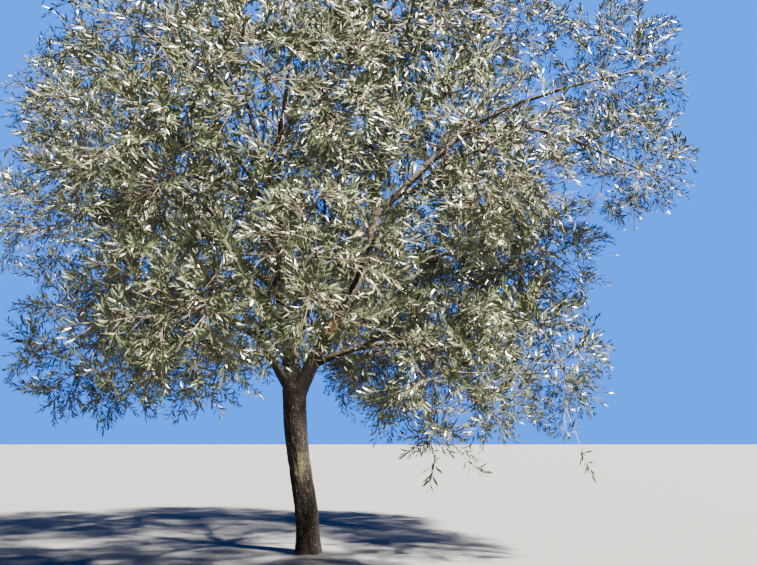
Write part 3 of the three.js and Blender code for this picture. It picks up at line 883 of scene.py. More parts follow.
@dataclass(frozen=True)
class LeafRule:
    """How leaves sit on a shoot, in opposite pairs that cross, and how a leaf is shaped.

    Sizes are in metres and angles in degrees. The light comes from outside the crown, as seen from
    its heart, and from above by skyward. Facing is how strongly a blade turns to it, flatten how far
    a pair swings into the plane across it, lift how far a leaf points up, turned_over the share of
    sprays that show their undersides, and shed the share of a shoot's oldest leaves that have dropped.
    The youngest pair is the first gap, in internodes, from the tip, and the leaf at the very tip
    swings aside by the end turn. Leaves in the shade, within the inner reach of the heart, are longer.
    """

    length: float = 0.0585
    length_varies: float = 0.22
    slimness: float = 0.2
    internode: float = 0.0175
    pair_turn: float = 90
    turn_varies: float = 18
    splay_root: float = 64
    splay_tip: float = 30
    splay_varies: float = 10
    spray_roll: float = 26
    roll_varies: float = 26
    turned_over: float = 0.3
    inner_reach: float = 1.7
    inner_longer: float = 1.3
    skyward: float = 0.35
    facing: float = 1.2
    flatten: float = 0.55
    lift: float = 0.2
    smaller_at_ends: float = 0.3
    largest_at: float = 0.45
    shed: float = 0.3
    first_gap: float = 0.25
    end_turn: float = 0.25

    OUTLINE = ((0, 0, -0.03), (0.4, -1, 0), (1, 0, -0.02), (0.62, 0.94, 0.012))
    UPPER = ((0, 1, 3), (1, 2, 3))
    LOWER = ((0, 2, 1), (0, 3, 2))

    def on(self, twigs: Twigs, first: float, tones: Array, random: Random) -> Leaves:
        """Sets leaves on twigs.

        Args:
            twigs: The twigs.
            first: The share of a twig's length that is bare.
            tones: The tone of each twig's leaves.
            random: The source of the variation.

        Returns:
            The leaves, the last one straight on from the twig's tip.
        """
        sprays = self.hold(twigs, tones, random)
        length = twigs.length()
        pairs = np.maximum((length * (1 - first) / self.internode).astype(int), 1)
        which = np.repeat(np.arange(len(twigs)), pairs)
        rank = np.arange(len(which)) - np.repeat(np.cumsum(pairs) - pairs, pairs)
        t = 1 - (rank + self.first_gap) * self.internode / length[which]
        youth = 1 - rank / pairs[which]
        phase = random.uniform(0, 2 * math.pi, len(twigs))
        turn = phase[which] + rank * math.radians(self.pair_turn)
        parts = []
        for half_turn in (0, math.pi):
            held = random.uniform(0, 1, len(which)) > self.shed * (1 - youth)
            turned = turn[held] + half_turn
            parts.append(self.placed(twigs, which[held], t[held], turned, youth[held], sprays, random))
        last, ones = np.arange(len(twigs)), np.ones(len(twigs))
        end = self.placed(twigs, last, ones, phase, ones, sprays, random)
        end.ahead = unit(unit(twigs.end - twigs.bend) + self.end_turn * end.ahead)
        end.face = unit(end.face - dot(end.face, end.ahead) * end.ahead)
        return Leaves.joined([*parts, end])

    def hold(self, twigs: Twigs, tones: Array, random: Random) -> Sprays:
        """Draws how each twig's leaves are held."""
        light = unit(unit(twigs.end - HEART) + UP * self.skyward)
        over = picked(random, self.turned_over, len(twigs))
        roll = random.normal(0, self.spray_roll, len(twigs)) + 180 * over
        size = np.where(from_heart(twigs.end) < self.inner_reach, self.inner_longer, 1)
        return Sprays(tones, light, roll, size)

    def placed(
        self, twigs: Twigs, which: Array, t: Array, turn: Array, youth: Array, sprays: Sprays,
        random: Random,
    ) -> Leaves:
        """Sets one leaf at each station.

        Args:
            twigs: The twigs.
            which: The twig of each leaf.
            t: How far along its twig each leaf sits, as a share.
            turn: The angle round the twig.
            youth: From zero at the oldest leaves to one at the twig's tip.
            sprays: How each twig's leaves are held.
            random: The source of the variation.

        Returns:
            The leaves.
        """
        count, spray = len(which), sprays.kept(which)
        point, way = twigs.along(which, t)
        out = outward(way, turn + np.radians(random.normal(0, self.turn_varies, count)))
        splay = lerp(self.splay_root, self.splay_tip, youth) + random.normal(0, self.splay_varies, count)
        splay = np.radians(splay)[:, None]
        out = unit(out - spray.light * dot(out, spray.light) * self.flatten)
        ahead = unit(way * np.cos(splay) + out * np.sin(splay) + UP * self.lift)
        face = way * np.sin(splay) - out * np.cos(splay) + spray.light * self.facing
        face = unit(face - dot(face, ahead) * ahead)
        roll = np.radians(spray.roll + random.normal(0, self.roll_varies, count))[:, None]
        face = face * np.cos(roll) + np.cross(ahead, face) * np.sin(roll)
        ends = 1 - self.smaller_at_ends * (2 * (youth - self.largest_at)) ** 2
        varies = 1 + random.uniform(-self.length_varies, self.length_varies, count)
        return Leaves(point, ahead, face, self.length * spray.size * ends * varies, spray.tone)

    def arrays(self, leaves: Leaves) -> tuple[Array, Array, Array]:
        """The vertices, the triangles and the slot of each triangle of the leaves.

        A leaf has four corners in outline, at shares of its length, shares of half its width to the
        left, and shares of its length upwards. Its two sides are folded along different diagonals.
        """
        outline = np.array(self.OUTLINE) * np.array([1, self.slimness / 2, 1])
        axes = np.stack([leaves.ahead, np.cross(leaves.face, leaves.ahead), leaves.face], axis=1)
        places = leaves.root[:, None] + (outline @ axes) * leaves.length[:, None, None]
        faces = np.array(self.UPPER + self.LOWER)[None] + len(outline) * np.arange(len(leaves))[:, None, None]
        under = np.array([0] * len(self.UPPER) + [1] * len(self.LOWER))
        slots = 2 * leaves.tone[:, None] + under[None]
        return places.reshape(-1, 3), faces.reshape(-1, 3), slots.reshape(-1)

    @property
    def faces(self) -> int:
        """How many triangles a leaf has."""
        return len(self.UPPER + self.LOWER)


@dataclass(frozen=True)
class YoungShoots:
    """Young shoots that stand out of a limb and turn up to the light, in metres and shares.

    The limb's direction at a shoot is taken over nearby, a share of the limb to either side.
    """

    spacing: float = 0.05
    first: float = 0.1
    last: float = 1.0
    shortest: float = 0.2
    longest: float = 0.46
    lean: float = 0.55
    upward: float = 0.5
    upright_end: float = 0.55
    turn_varies: float = 0.5
    nearby: float = 0.04
    seat: float = 0.7
    root: float = 0.0026
    tip: float = 0.0012
    sides: int = 3
    pieces: int = 4

    def on(self, limb: Limb, line: Array, random: Random) -> Twigs:
        """Grows shoots along a limb.

        Args:
            limb: The limb.
            line: The points of its centre line.
            random: The source of the variation.

        Returns:
            The shoots.
        """
        share = self.last - self.first
        count = int(limb.length * MM * share / self.spacing)
        rank = np.arange(count)
        stations = self.first + (rank + random.uniform(0, 1, count)) / count * share
        points = point_at(line, stations)
        aheads = unit(point_at(line, stations + self.nearby) - point_at(line, stations - self.nearby))
        turn = rank * GOLDEN_TURN + random.uniform(-self.turn_varies, self.turn_varies, count)
        out = outward(aheads, turn)
        way = unit(aheads * self.lean + out + UP * self.upward)
        length = random.uniform(self.shortest, self.longest, count)[:, None]
        start = points + out * (limb.radius(stations) * self.seat)[:, None]
        bend = start + way * length / 2
        end = bend + unit(way + UP * self.upright_end) * length / 2
        return Twigs.tapering(start, bend, end, self.root, self.tip)


def paint(code: str) -> tuple[float, float, float, float]:
    """A colour from its six-digit code, in the renderer's linear light."""
    shares = [int(code[i:i + 2], 16) / 255 for i in (0, 2, 4)]
    return *(s / 12.92 if s <= 0.04045 else ((s + 0.055) / 1.055) ** 2.4 for s in shares), 1.0


class Wire:
    """A value in a shader. Arithmetic on it adds the nodes that work it out."""

    def __init__(self, graph: "Graph", socket: bpy.types.NodeSocket) -> None:
        self.graph = graph
        self.socket = socket

    def math(self, operation: str, first: "Wire | float", second: "Wire | float" = 0.0) -> "Wire":
        """Adds one Math node."""
        return self.graph.node("ShaderNodeMath", {"operation": operation}, {0: first, 1: second})

    def __add__(self, other: "Wire | float") -> "Wire":
        return self.math("ADD", self, other)

    def __radd__(self, other: float) -> "Wire":
        return self.math("ADD", other, self)

    def __sub__(self, other: "Wire | float") -> "Wire":
        return self.math("SUBTRACT", self, other)

    def __rsub__(self, other: float) -> "Wire":
        return self.math("SUBTRACT", other, self)

    def __mul__(self, other: "Wire | float") -> "Wire":
        return self.math("MULTIPLY", self, other)

    def between(self, low: float, high: float) -> "Wire":
        """Zero up to low, one from high on, and smooth between them."""
        return self.graph.node(
            "ShaderNodeMapRange", {"interpolation_type": "SMOOTHSTEP"},
            {"Value": self, "From Min": low, "From Max": high},
        )


class Graph:
    """One material and its nodes."""

    def __init__(self, name: str) -> None:
        self.material = bpy.data.materials.new(name)
        self.material.use_nodes = True
        self.tree = self.material.node_tree
        self.shader = self.tree.nodes["Principled BSDF"]

    def node(
        self, kind: str, settings: dict[str, object] | None = None,
        inputs: dict[str | int, object] | None = None, output: str | int = 0,
    ) -> Wire:
        """Adds a node.

        Args:
            kind: The node's type.
            settings: Its own settings, with a ramp's stops as pairs of a place and a colour.
            inputs: The values of its sockets, or the wires that lead to them.
            output: The output wanted.

        Returns:
            That output.
        """
        made = self.tree.nodes.new(kind)
        for key, value in (settings or {}).items():
            if key == "stops":
                self.set_stops(made.color_ramp.elements, value)
            else:
                setattr(made, key, value)
        for key, value in (inputs or {}).items():
            self.feed(made.inputs[key], value)
        return Wire(self, made.outputs[output])

    def set_stops(self, elements: bpy.types.bpy_prop_collection, stops: list[tuple[float, tuple]]) -> None:
        """Sets a colour ramp's stops."""
        while len(elements) < len(stops):
            elements.new(1)
        for element, (place, colour) in zip(elements, stops):
            element.position = place
            element.color = colour

    def feed(self, socket: bpy.types.NodeSocket, value: object) -> None:
        """Sets a socket, or links a wire to it."""
        if isinstance(value, Wire):
            self.tree.links.new(value.socket, socket)
        else:
            socket.default_value = value

    def blend(self, share: "Wire | float", a: object, b: object, how: str = "MIX") -> Wire:
        """Mixes two colours, through the Mix node's colour sockets."""
        return self.node(
            "ShaderNodeMix", {"data_type": "RGBA", "blend_type": how}, {0: share, 6: a, 7: b}, output=2
        )

    def vector(self, operation: str, *inputs: object, output: str | int = 0) -> Wire:
        """Adds one Vector Math node."""
        return self.node("ShaderNodeVectorMath", {"operation": operation}, dict(enumerate(inputs)), output)

    def place(self) -> Wire:
        """Where a point of the surface is, in metres."""
        return self.node("ShaderNodeTexCoord", output="Object")

    def noise(self, place: Wire, pattern: "Pattern", output: str | int = 0) -> Wire:
        """A soft random pattern round one half."""
        inputs = {"Scale": pattern.scale, "Detail": pattern.detail, "Roughness": pattern.roughness}
        return self.node("ShaderNodeTexNoise", None, {"Vector": place, **inputs}, output)

    def finish(self, **sockets: object) -> bpy.types.Material:
        """Feeds the shader's sockets, named with _ for a space, and gives the material."""
        for name, value in sockets.items():
            self.feed(self.shader.inputs[name.replace("_", " ")], value)
        return self.material


@dataclass(frozen=True)
class Pattern:
    """A soft random pattern: its scale in folds a metre, its detail and how rough that is."""

    scale: float
    detail: float = 3
    roughness: float = 0.55

    def scaled(self, scale: float) -> "Pattern":
        """The same pattern at so many times the scale."""
        return replace(self, scale=self.scale * scale)


@dataclass(frozen=True)
class Patch:
    """A crust or a bare spot on the bark: its colour and the ball that it fills, in metres."""

    colour: str
    centre: tuple[float, float, float]
    size: tuple[float, float, float]
    strength: float = 0.8

    RAGGED = Pattern(42, 4)
    RAGGED_SHARE = 0.9
    FINE_SHARE = 0.5
    REACH = 1.6
    SOFT_EDGE = 0.45

    def cover(self, graph: Graph, fine: Wire) -> Wire:
        """How much of the patch covers the bark at a point, broken up by the bark's fine pattern."""
        away = graph.vector("DIVIDE", graph.vector("SUBTRACT", graph.place(), self.centre), self.size)
        far = graph.vector("LENGTH", away, output="Value")
        ragged = graph.noise(graph.place(), self.RAGGED)
        near = self.REACH - far - ragged * self.RAGGED_SHARE - fine * self.FINE_SHARE
        return near.between(0.0, self.SOFT_EDGE) * self.strength


@dataclass(frozen=True)
class BarkFinish:
    """Bark: dark furrows, a body colour, paler ridges and pale flecks of painted highlight on the highest
    ridges, along the grain.

    The patterns' scales are shares of the bark's own, except the stain's. A colour is purest at its
    stop, a height that the patterns add up to.
    """

    name: str
    furrow: str
    body: str
    ridge: str
    fleck: str
    bloom: str
    scale: float
    depth: float
    stretch: float = 0.3
    lean: float = 0
    warp: float = 0.5
    roughness: float = 0.93
    patches: tuple[Patch, ...] = ()

    DRIFT = Pattern(0.4)
    BODY = Pattern(1, 6, 0.68)
    FINE = Pattern(4, 4, 0.65)
    SWIRL = Pattern(1.2)
    STAIN = Pattern(4.5)
    SHARES = (0.6, 0.36, 0.16, 0.3)
    SUNK = 0.2
    CRACK_WIDTH = 0.22
    STOPS = (0.36, 0.5, 0.64, 0.78)
    STAIN_EDGES = (0.5, 0.68)
    STAIN_SHARE = 0.4
    BUMP = 0.75
    RIDGES_SMOOTHER = 0.12
    SHINE = 0.25

    def build(self) -> bpy.types.Material:
        """Builds the material."""
        graph = Graph(self.name)
        grain = graph.node("ShaderNodeAttribute", {"attribute_name": BarkShell.GRAIN}, output="Vector")
        turn = (0, math.radians(self.lean), 0)
        leant = graph.node("ShaderNodeMapping", None, {"Vector": grain, "Rotation": turn})
        along = graph.node("ShaderNodeMapping", None, {"Vector": leant, "Scale": (1, 1, self.stretch)})
        drift, body, fine = (
            graph.noise(along, pattern.scaled(self.scale)) for pattern in (self.DRIFT, self.BODY, self.FINE)
        )
        swirl = graph.noise(along, self.SWIRL.scaled(self.scale), output="Color")
        warped = graph.vector("MULTIPLY_ADD", swirl, (self.warp / self.scale,) * 3, along)
        edge = {"Vector": warped, "Scale": self.scale}
        crack = graph.node("ShaderNodeTexVoronoi", {"feature": "DISTANCE_TO_EDGE"}, edge)
        parts = zip((body, fine, crack.between(0.0, self.CRACK_WIDTH), drift), self.SHARES)
        height = sum(part * share for part, share in parts) - self.SUNK
        # The last colour, at the highest stop, is a painted highlight: pale flecks where sunlight would catch
        # the ridges.
        colours = [paint(code) for code in (self.furrow, self.body, self.ridge, self.fleck)]
        stops = {"stops": list(zip(self.STOPS, colours))}
        colour = graph.node("ShaderNodeValToRGB", stops, {"Fac": height})
        stain = graph.noise(grain, self.STAIN).between(*self.STAIN_EDGES)
        colour = graph.blend(stain * self.STAIN_SHARE, colour, paint(self.bloom))
        for patch in self.patches:
            colour = graph.blend(patch.cover(graph, fine), colour, paint(patch.colour))
        relief = {"Strength": self.BUMP, "Distance": self.depth, "Height": height}
        return graph.finish(
            Base_Color=colour, Roughness=self.roughness - height * self.RIDGES_SMOOTHER,
            Normal=graph.node("ShaderNodeBump", None, relief), Specular_IOR_Level=self.SHINE,
        )


@dataclass(frozen=True)
class LeafFinish:
    """One side of the leaves: a plain colour with a faint mottle, and how glossy it is."""

    name: str
    colour: str
    roughness: float
    shine: float = 0.4
    mottle: float = 0.16

    MOTTLE = Pattern(36, 2)
    DRIFT = Pattern(1.7, 2)
    MIDDLE = 0.5
    ROUGHNESS_VARIES = 0.2

    def build(self) -> bpy.types.Material:
        """Builds the material."""
        graph = Graph(self.name)
        mottle = graph.noise(graph.place(), self.MOTTLE) - self.MIDDLE
        drift = graph.noise(graph.place(), self.DRIFT) - self.MIDDLE
        shade = mottle * self.mottle + drift * self.mottle + 1
        grey = graph.node("ShaderNodeCombineColor", None, {"Red": shade, "Green": shade, "Blue": shade})
        return graph.finish(
            Base_Color=graph.blend(1.0, paint(self.colour), grey, "MULTIPLY"),
            Roughness=mottle * self.ROUGHNESS_VARIES + self.roughness, Specular_IOR_Level=self.shine,
        )


@dataclass(frozen=True)
class TwigFinish:
    """The thin bark of twigs: a body colour and the colour of its worn spots."""

    name: str
    body: str
    worn: str

    SPOTS = Pattern(60)
    SPOT_EDGES = (0.38, 0.66)
    ROUGHNESS = 0.75
    ROUGHNESS_VARIES = 0.2
    SHINE = 0.3

    def build(self) -> bpy.types.Material:
        """Builds the material."""
        graph = Graph(self.name)
        spots = graph.noise(graph.place(), self.SPOTS)
        colour = graph.blend(spots.between(*self.SPOT_EDGES), paint(self.body), paint(self.worn))
        rough = spots * self.ROUGHNESS_VARIES + self.ROUGHNESS
        return graph.finish(Base_Color=colour, Roughness=rough, Specular_IOR_Level=self.SHINE)


# Painted shade: the trunk's colours are darker than its bark's own, standing in for the crown's shade on the
# trunk. Its pale flecks, leant diagonally, are painted highlights.
SHADE_PAINTED_TRUNK_BARK = BarkFinish(
    "trunk_bark", furrow="080706", body="151311", ridge="221e1a", fleck="877c6e", bloom="1e1c1a",
    scale=72, depth=0.005, stretch=0.34, lean=-42, patches=(
        Patch("34361f", (-0.056, -0.085, 0.575), (0.055, 0.06, 0.14), 0.85),
        Patch("3a3b28", (-0.03, -0.09, 0.69), (0.03, 0.05, 0.05), 0.55),
        Patch("8a7053", (0.145, -0.045, 1.545), (0.085, 0.085, 0.12), 0.85),
    ),
)
BOUGH_BARK = BarkFinish(
    "bough_bark", furrow="0a0706", body="18120e", ridge="291f18", fleck="54473a", bloom="221a14",
    scale=70, depth=0.002, stretch=0.36,
)


class TwigBark(Enum):
    """The barks of twigs."""

    OLD = TwigFinish("old_twig_bark", "2a241d", "453d33")
    YOUNG = TwigFinish("young_twig_bark", "5e5540", "9a8f70")
    RED = TwigFinish("red_twig_bark", "5e3a2a", "80604a")


def leaf_sides(tone: str, upper: str, rough: float, under: str, under_rough: float) -> tuple[LeafFinish, ...]:
    """The finishes of a leaf's upper side and underside."""
    return LeafFinish(f"{tone}_leaf", upper, rough), LeafFinish(f"{tone}_underside", under, under_rough)


LEAF_SIDES = {
    Tone.DEEP: leaf_sides("deep", "252c1a", 0.36, "5a5d4f", 0.55),
    Tone.MIDDLE: leaf_sides("middle", "51563c", 0.36, "868772", 0.55),
    Tone.SILVERY: leaf_sides("silvery", "939680", 0.4, "cfcdbb", 0.55),
    Tone.YELLOWED: leaf_sides("yellowed", "b09a3c", 0.5, "c0b068", 0.6),
    Tone.WITHERED: leaf_sides("withered", "8a5238", 0.7, "a37458", 0.75),
}


def add_piece(
    name: str, mesh: bpy.types.Mesh, finishes: list[bpy.types.Material],
    nodes: tuple[str, ...] = (),
) -> None:
    """Adds a finished piece to the tree.

    Args:
        name: The piece's name.
        mesh: Its mesh, in place.
        finishes: Its materials, in the order of its slots.
        nodes: The frame's solids that it stands for.
    """
    piece = add_object(name, mesh)
    mesh.materials.clear()
    for finish in finishes:
        mesh.materials.append(finish)
    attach(piece, BODY)
    if nodes:
        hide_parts(*nodes)
    log.info("%s: %d faces, for %s", name, len(mesh.polygons), ", ".join(nodes) or "no solid of its own")


def joined_mesh(name: str, places: Array, faces: Array, slots: Array, smooth: bool) -> bpy.types.Mesh:
    """Makes one mesh of many small things from arrays.

    Args:
        name: The mesh's name.
        places: The vertices.
        faces: The triangles.
        slots: The material slot of each triangle.
        smooth: Whether the faces are shaded smooth.

    Returns:
        The mesh.
    """
    mesh = bpy.data.meshes.new(name)
    mesh.vertices.add(len(places))
    mesh.vertices.foreach_set("co", places.astype(np.float32).ravel())
    mesh.loops.add(faces.size)
    mesh.loops.foreach_set("vertex_index", faces.astype(np.int32).ravel())
    mesh.polygons.add(len(faces))
    mesh.polygons.foreach_set("loop_start", np.arange(0, faces.size, 3, dtype=np.int32))
    mesh.polygons.foreach_set("material_index", slots.astype(np.int32))
    mesh.polygons.foreach_set("use_smooth", np.full(len(faces), smooth))
    mesh.update(calc_edges=True)
    return mesh


@dataclass
class Wood:
    """Twigs of one make: how many sides and straight pieces each has, and its bark."""

    twigs: Twigs
    sides: int
    pieces: int
    bark: TwigBark

    def arrays(self) -> tuple[Array, Array]:
        """The vertices and the triangles of the twigs, closed and tapering."""
        count, rings, sides = len(self.twigs), self.pieces + 1, self.sides
        shares = np.linspace(0, 1, rings)
        points, _ = self.twigs.nodes(shares)
        points = points.reshape(count, rings, 3)
        _, side, across = frames_along(points)
        angle = (2 * math.pi * np.arange(sides) / sides)[:, None]
        radius = lerp(self.twigs.root[:, None], self.twigs.tip[:, None], shares)[..., None, None]
        round_it = side[:, :, None] * np.cos(angle) + across[:, :, None] * np.sin(angle)
        places = points[:, :, None] + radius * round_it
        ring, corner = np.meshgrid(np.arange(self.pieces), np.arange(sides), indexing="ij")
        near, far = ring * sides + corner, ring * sides + (corner + 1) % sides
        walls = np.stack([near, near + sides, far, far, near + sides, far + sides], axis=-1).reshape(-1, 3)
        fan = np.arange(1, sides - 1)
        foot = np.stack([fan * 0, fan, fan + 1], axis=-1)
        top = np.stack([fan * 0, fan + 1, fan], axis=-1) + self.pieces * sides
        faces = np.concatenate([walls, foot, top])[None] + (rings * sides * np.arange(count))[:, None, None]
        return places.reshape(-1, 3), faces.reshape(-1, 3)


@dataclass
class Growth:
    """What has grown for one piece of the crown."""

    masses: list[Mass]
    woods: list[Wood]
    leaves: list[Leaves]

    def twig_mesh(self, name: str) -> bpy.types.Mesh:
        """All the twigs in one mesh."""
        places, faces, slots, count = [], [], [], 0
        for wood in self.woods:
            corners, triangles = wood.arrays()
            places.append(corners)
            faces.append(triangles + count)
            slots.append(np.full(len(triangles), list(TwigBark).index(wood.bark)))
            count += len(corners)
        return joined_mesh(name, *map(np.concatenate, (places, faces, slots)), smooth=True)


@dataclass(frozen=True)
class Round:
    """A round place in the picture, in pixels."""

    across: float
    down: float
    radius: float

    def covers(self, pixels: Array, share: float | Array = 1) -> Array:
        """Which pixels lie within it, or within a share of its radius."""
        return span(pixels - np.array([self.across, self.down])) < self.radius * share


@dataclass(frozen=True)
class Spot(Round):
    """A round place in the picture where sprays of one tone show."""

    tone: Tone


@dataclass(frozen=True)
class Sight:
    """A stretch of a limb that shows through the leaves in front of it.

    First and last are shares of the limb, and the half width of the slit is in pixels.
    """

    limb: str
    first: float
    last: float
    half_width: float

    POINTS = 12

    def hidden_by(self, line: Array, eye: Eye, points: Array) -> Array:
        """Which points are in front of the stretch, by the limb's centre line."""
        shares = np.linspace(0, 1, self.POINTS)
        seen, far = eye.pixels(point_at(line, lerp(self.first, self.last, shares)))
        pixels, depth = eye.pixels(points)
        nearest = nearest_on(seen, pixels)
        return (nearest.distance < self.half_width) & (depth < np.interp(nearest.station, shares, far))


@dataclass(frozen=True)
class Trail:
    """A long twig that hangs out of a mass: the bough's name, and its bend and end in metres."""

    limb: str
    bend: tuple[float, float, float]
    end: tuple[float, float, float]

    BARE = 0.45
    ROOT = 0.0024
    TIP = 0.0012
    SIDES = 3
    PIECES = 7

    def from_nearest(self, nodes: Array) -> Twigs:
        """The twig, from the node nearest to its bend."""
        bend, end = np.array(self.bend), np.array(self.end)
        start = nodes[span(nodes - bend).argmin()]
        return Twigs.tapering(start[None], bend[None], end[None], self.ROOT, self.TIP)


@dataclass(frozen=True)
class ToneRule:
    """How shoots get their tones: in drifts, deeper near the heart, and a few odd ones in their spots.

    Shares are those of the deep and the middle tone, the rest being silvery. The drift's scale is in
    folds a metre. Within the shade's reach of the heart, in metres, a share of the shoots takes the deep
    tone as painted shade, darker inside the crown where it shades itself. The spots are on the shoots
    that come nearer to the camera than a place on Y.
    """

    shares: tuple[float, float] = (0.33, 0.35)
    drift: float = 0.75
    drift_scale: float = 2.3
    yellowed: float = 0.01
    shade_reach: float = 1.75
    shade_deep: float = 0.5
    spots: tuple[Spot, ...] = (Spot(231, 163, 11, Tone.WITHERED), Spot(322, 150, 7, Tone.YELLOWED))
    spots_before: float = -0.6

    def deal(self, ends: Array, eye: Eye, random: Random) -> Array:
        """Deals tones to shoots.

        Args:
            ends: Where the shoots end.
            eye: The camera.
            random: The source of the variation.

        Returns:
            The value of each shoot's tone.
        """
        drift = self.drift * soft_noise(ends, self.drift_scale)
        tones = np.searchsorted(np.cumsum(self.shares), random.uniform(0, 1, len(ends)) + drift)
        tones[picked(random, self.yellowed, len(ends))] = Tone.YELLOWED.value
        # Painted shade: near the crown's heart a share of the shoots is given the deep tone.
        deep = picked(random, self.shade_deep, len(ends))
        tones[deep & (from_heart(ends) < self.shade_reach)] = Tone.DEEP.value
        pixels, _ = eye.pixels(ends)
        for spot in self.spots:
            tones[(ends[:, 1] < self.spots_before) & spot.covers(pixels)] = spot.tone.value
        return tones


@dataclass(frozen=True)
class Clearings:
    """What stays open in the picture: sky in the crown's gaps, limbs that show and the bare knuckle.

    Edge is how ragged an opening's rim is, as a share of its radius, leak the share of leaves that
    stay in an opening, and cleared the share of those in front of a limb that go.
    """

    openings: tuple[Round, ...] = tuple(Round(*place) for place in (
        (538, 140, 8), (549, 167, 9), (557, 185, 11), (573, 189, 11), (588, 188, 10), (600, 194, 9),
        (557, 202, 8), (594, 84, 8), (312, 196, 9), (322, 208, 6), (358, 122, 6), (387, 196, 6),
        (396, 178, 5), (606, 262, 14), (252, 12, 9), (218, 24, 6), (255, 53, 8), (395, 8, 10),
        (278, 92, 5),
    ))
    edge: float = 0.35
    leak: float = 0.22
    sights: tuple[Sight, ...] = (
        Sight("right_arm", 0.1, 1, 6), Sight("right_leader", 0.4, 1, 7), Sight("left_crest", 0.2, 1, 5),
        Sight("centre_crest", 0.1, 0.8, 5), Sight("low_right_arm", 0.15, 0.5, 4),
    )
    cleared: float = 0.85
    knuckle: Round = Round(339, 333, 22)

    def sky(self, points: Array, eye: Eye, random: Random) -> Array:
        """Which points would hide the sky in one of the openings."""
        pixels, _ = eye.pixels(points)
        ragged = 1 + random.uniform(-self.edge, self.edge, len(points))
        hides = np.any([gap.covers(pixels, ragged) for gap in self.openings], axis=0)
        return hides & ~picked(random, self.leak, len(points))

    def limbs(self, points: Array, eye: Eye, lines: dict[str, Array], random: Random) -> Array:
        """Which points would hide a limb that shows, most of them."""
        hides = np.any([sight.hidden_by(lines[sight.limb], eye, points) for sight in self.sights], axis=0)
        return hides & picked(random, self.cleared, len(points))

    def bare(self, points: Array, eye: Eye) -> Array:
        """Which points would hide the bare knuckle on the right leader."""
        pixels, _ = eye.pixels(points)
        return (points[:, 1] < 0) & self.knuckle.covers(pixels)


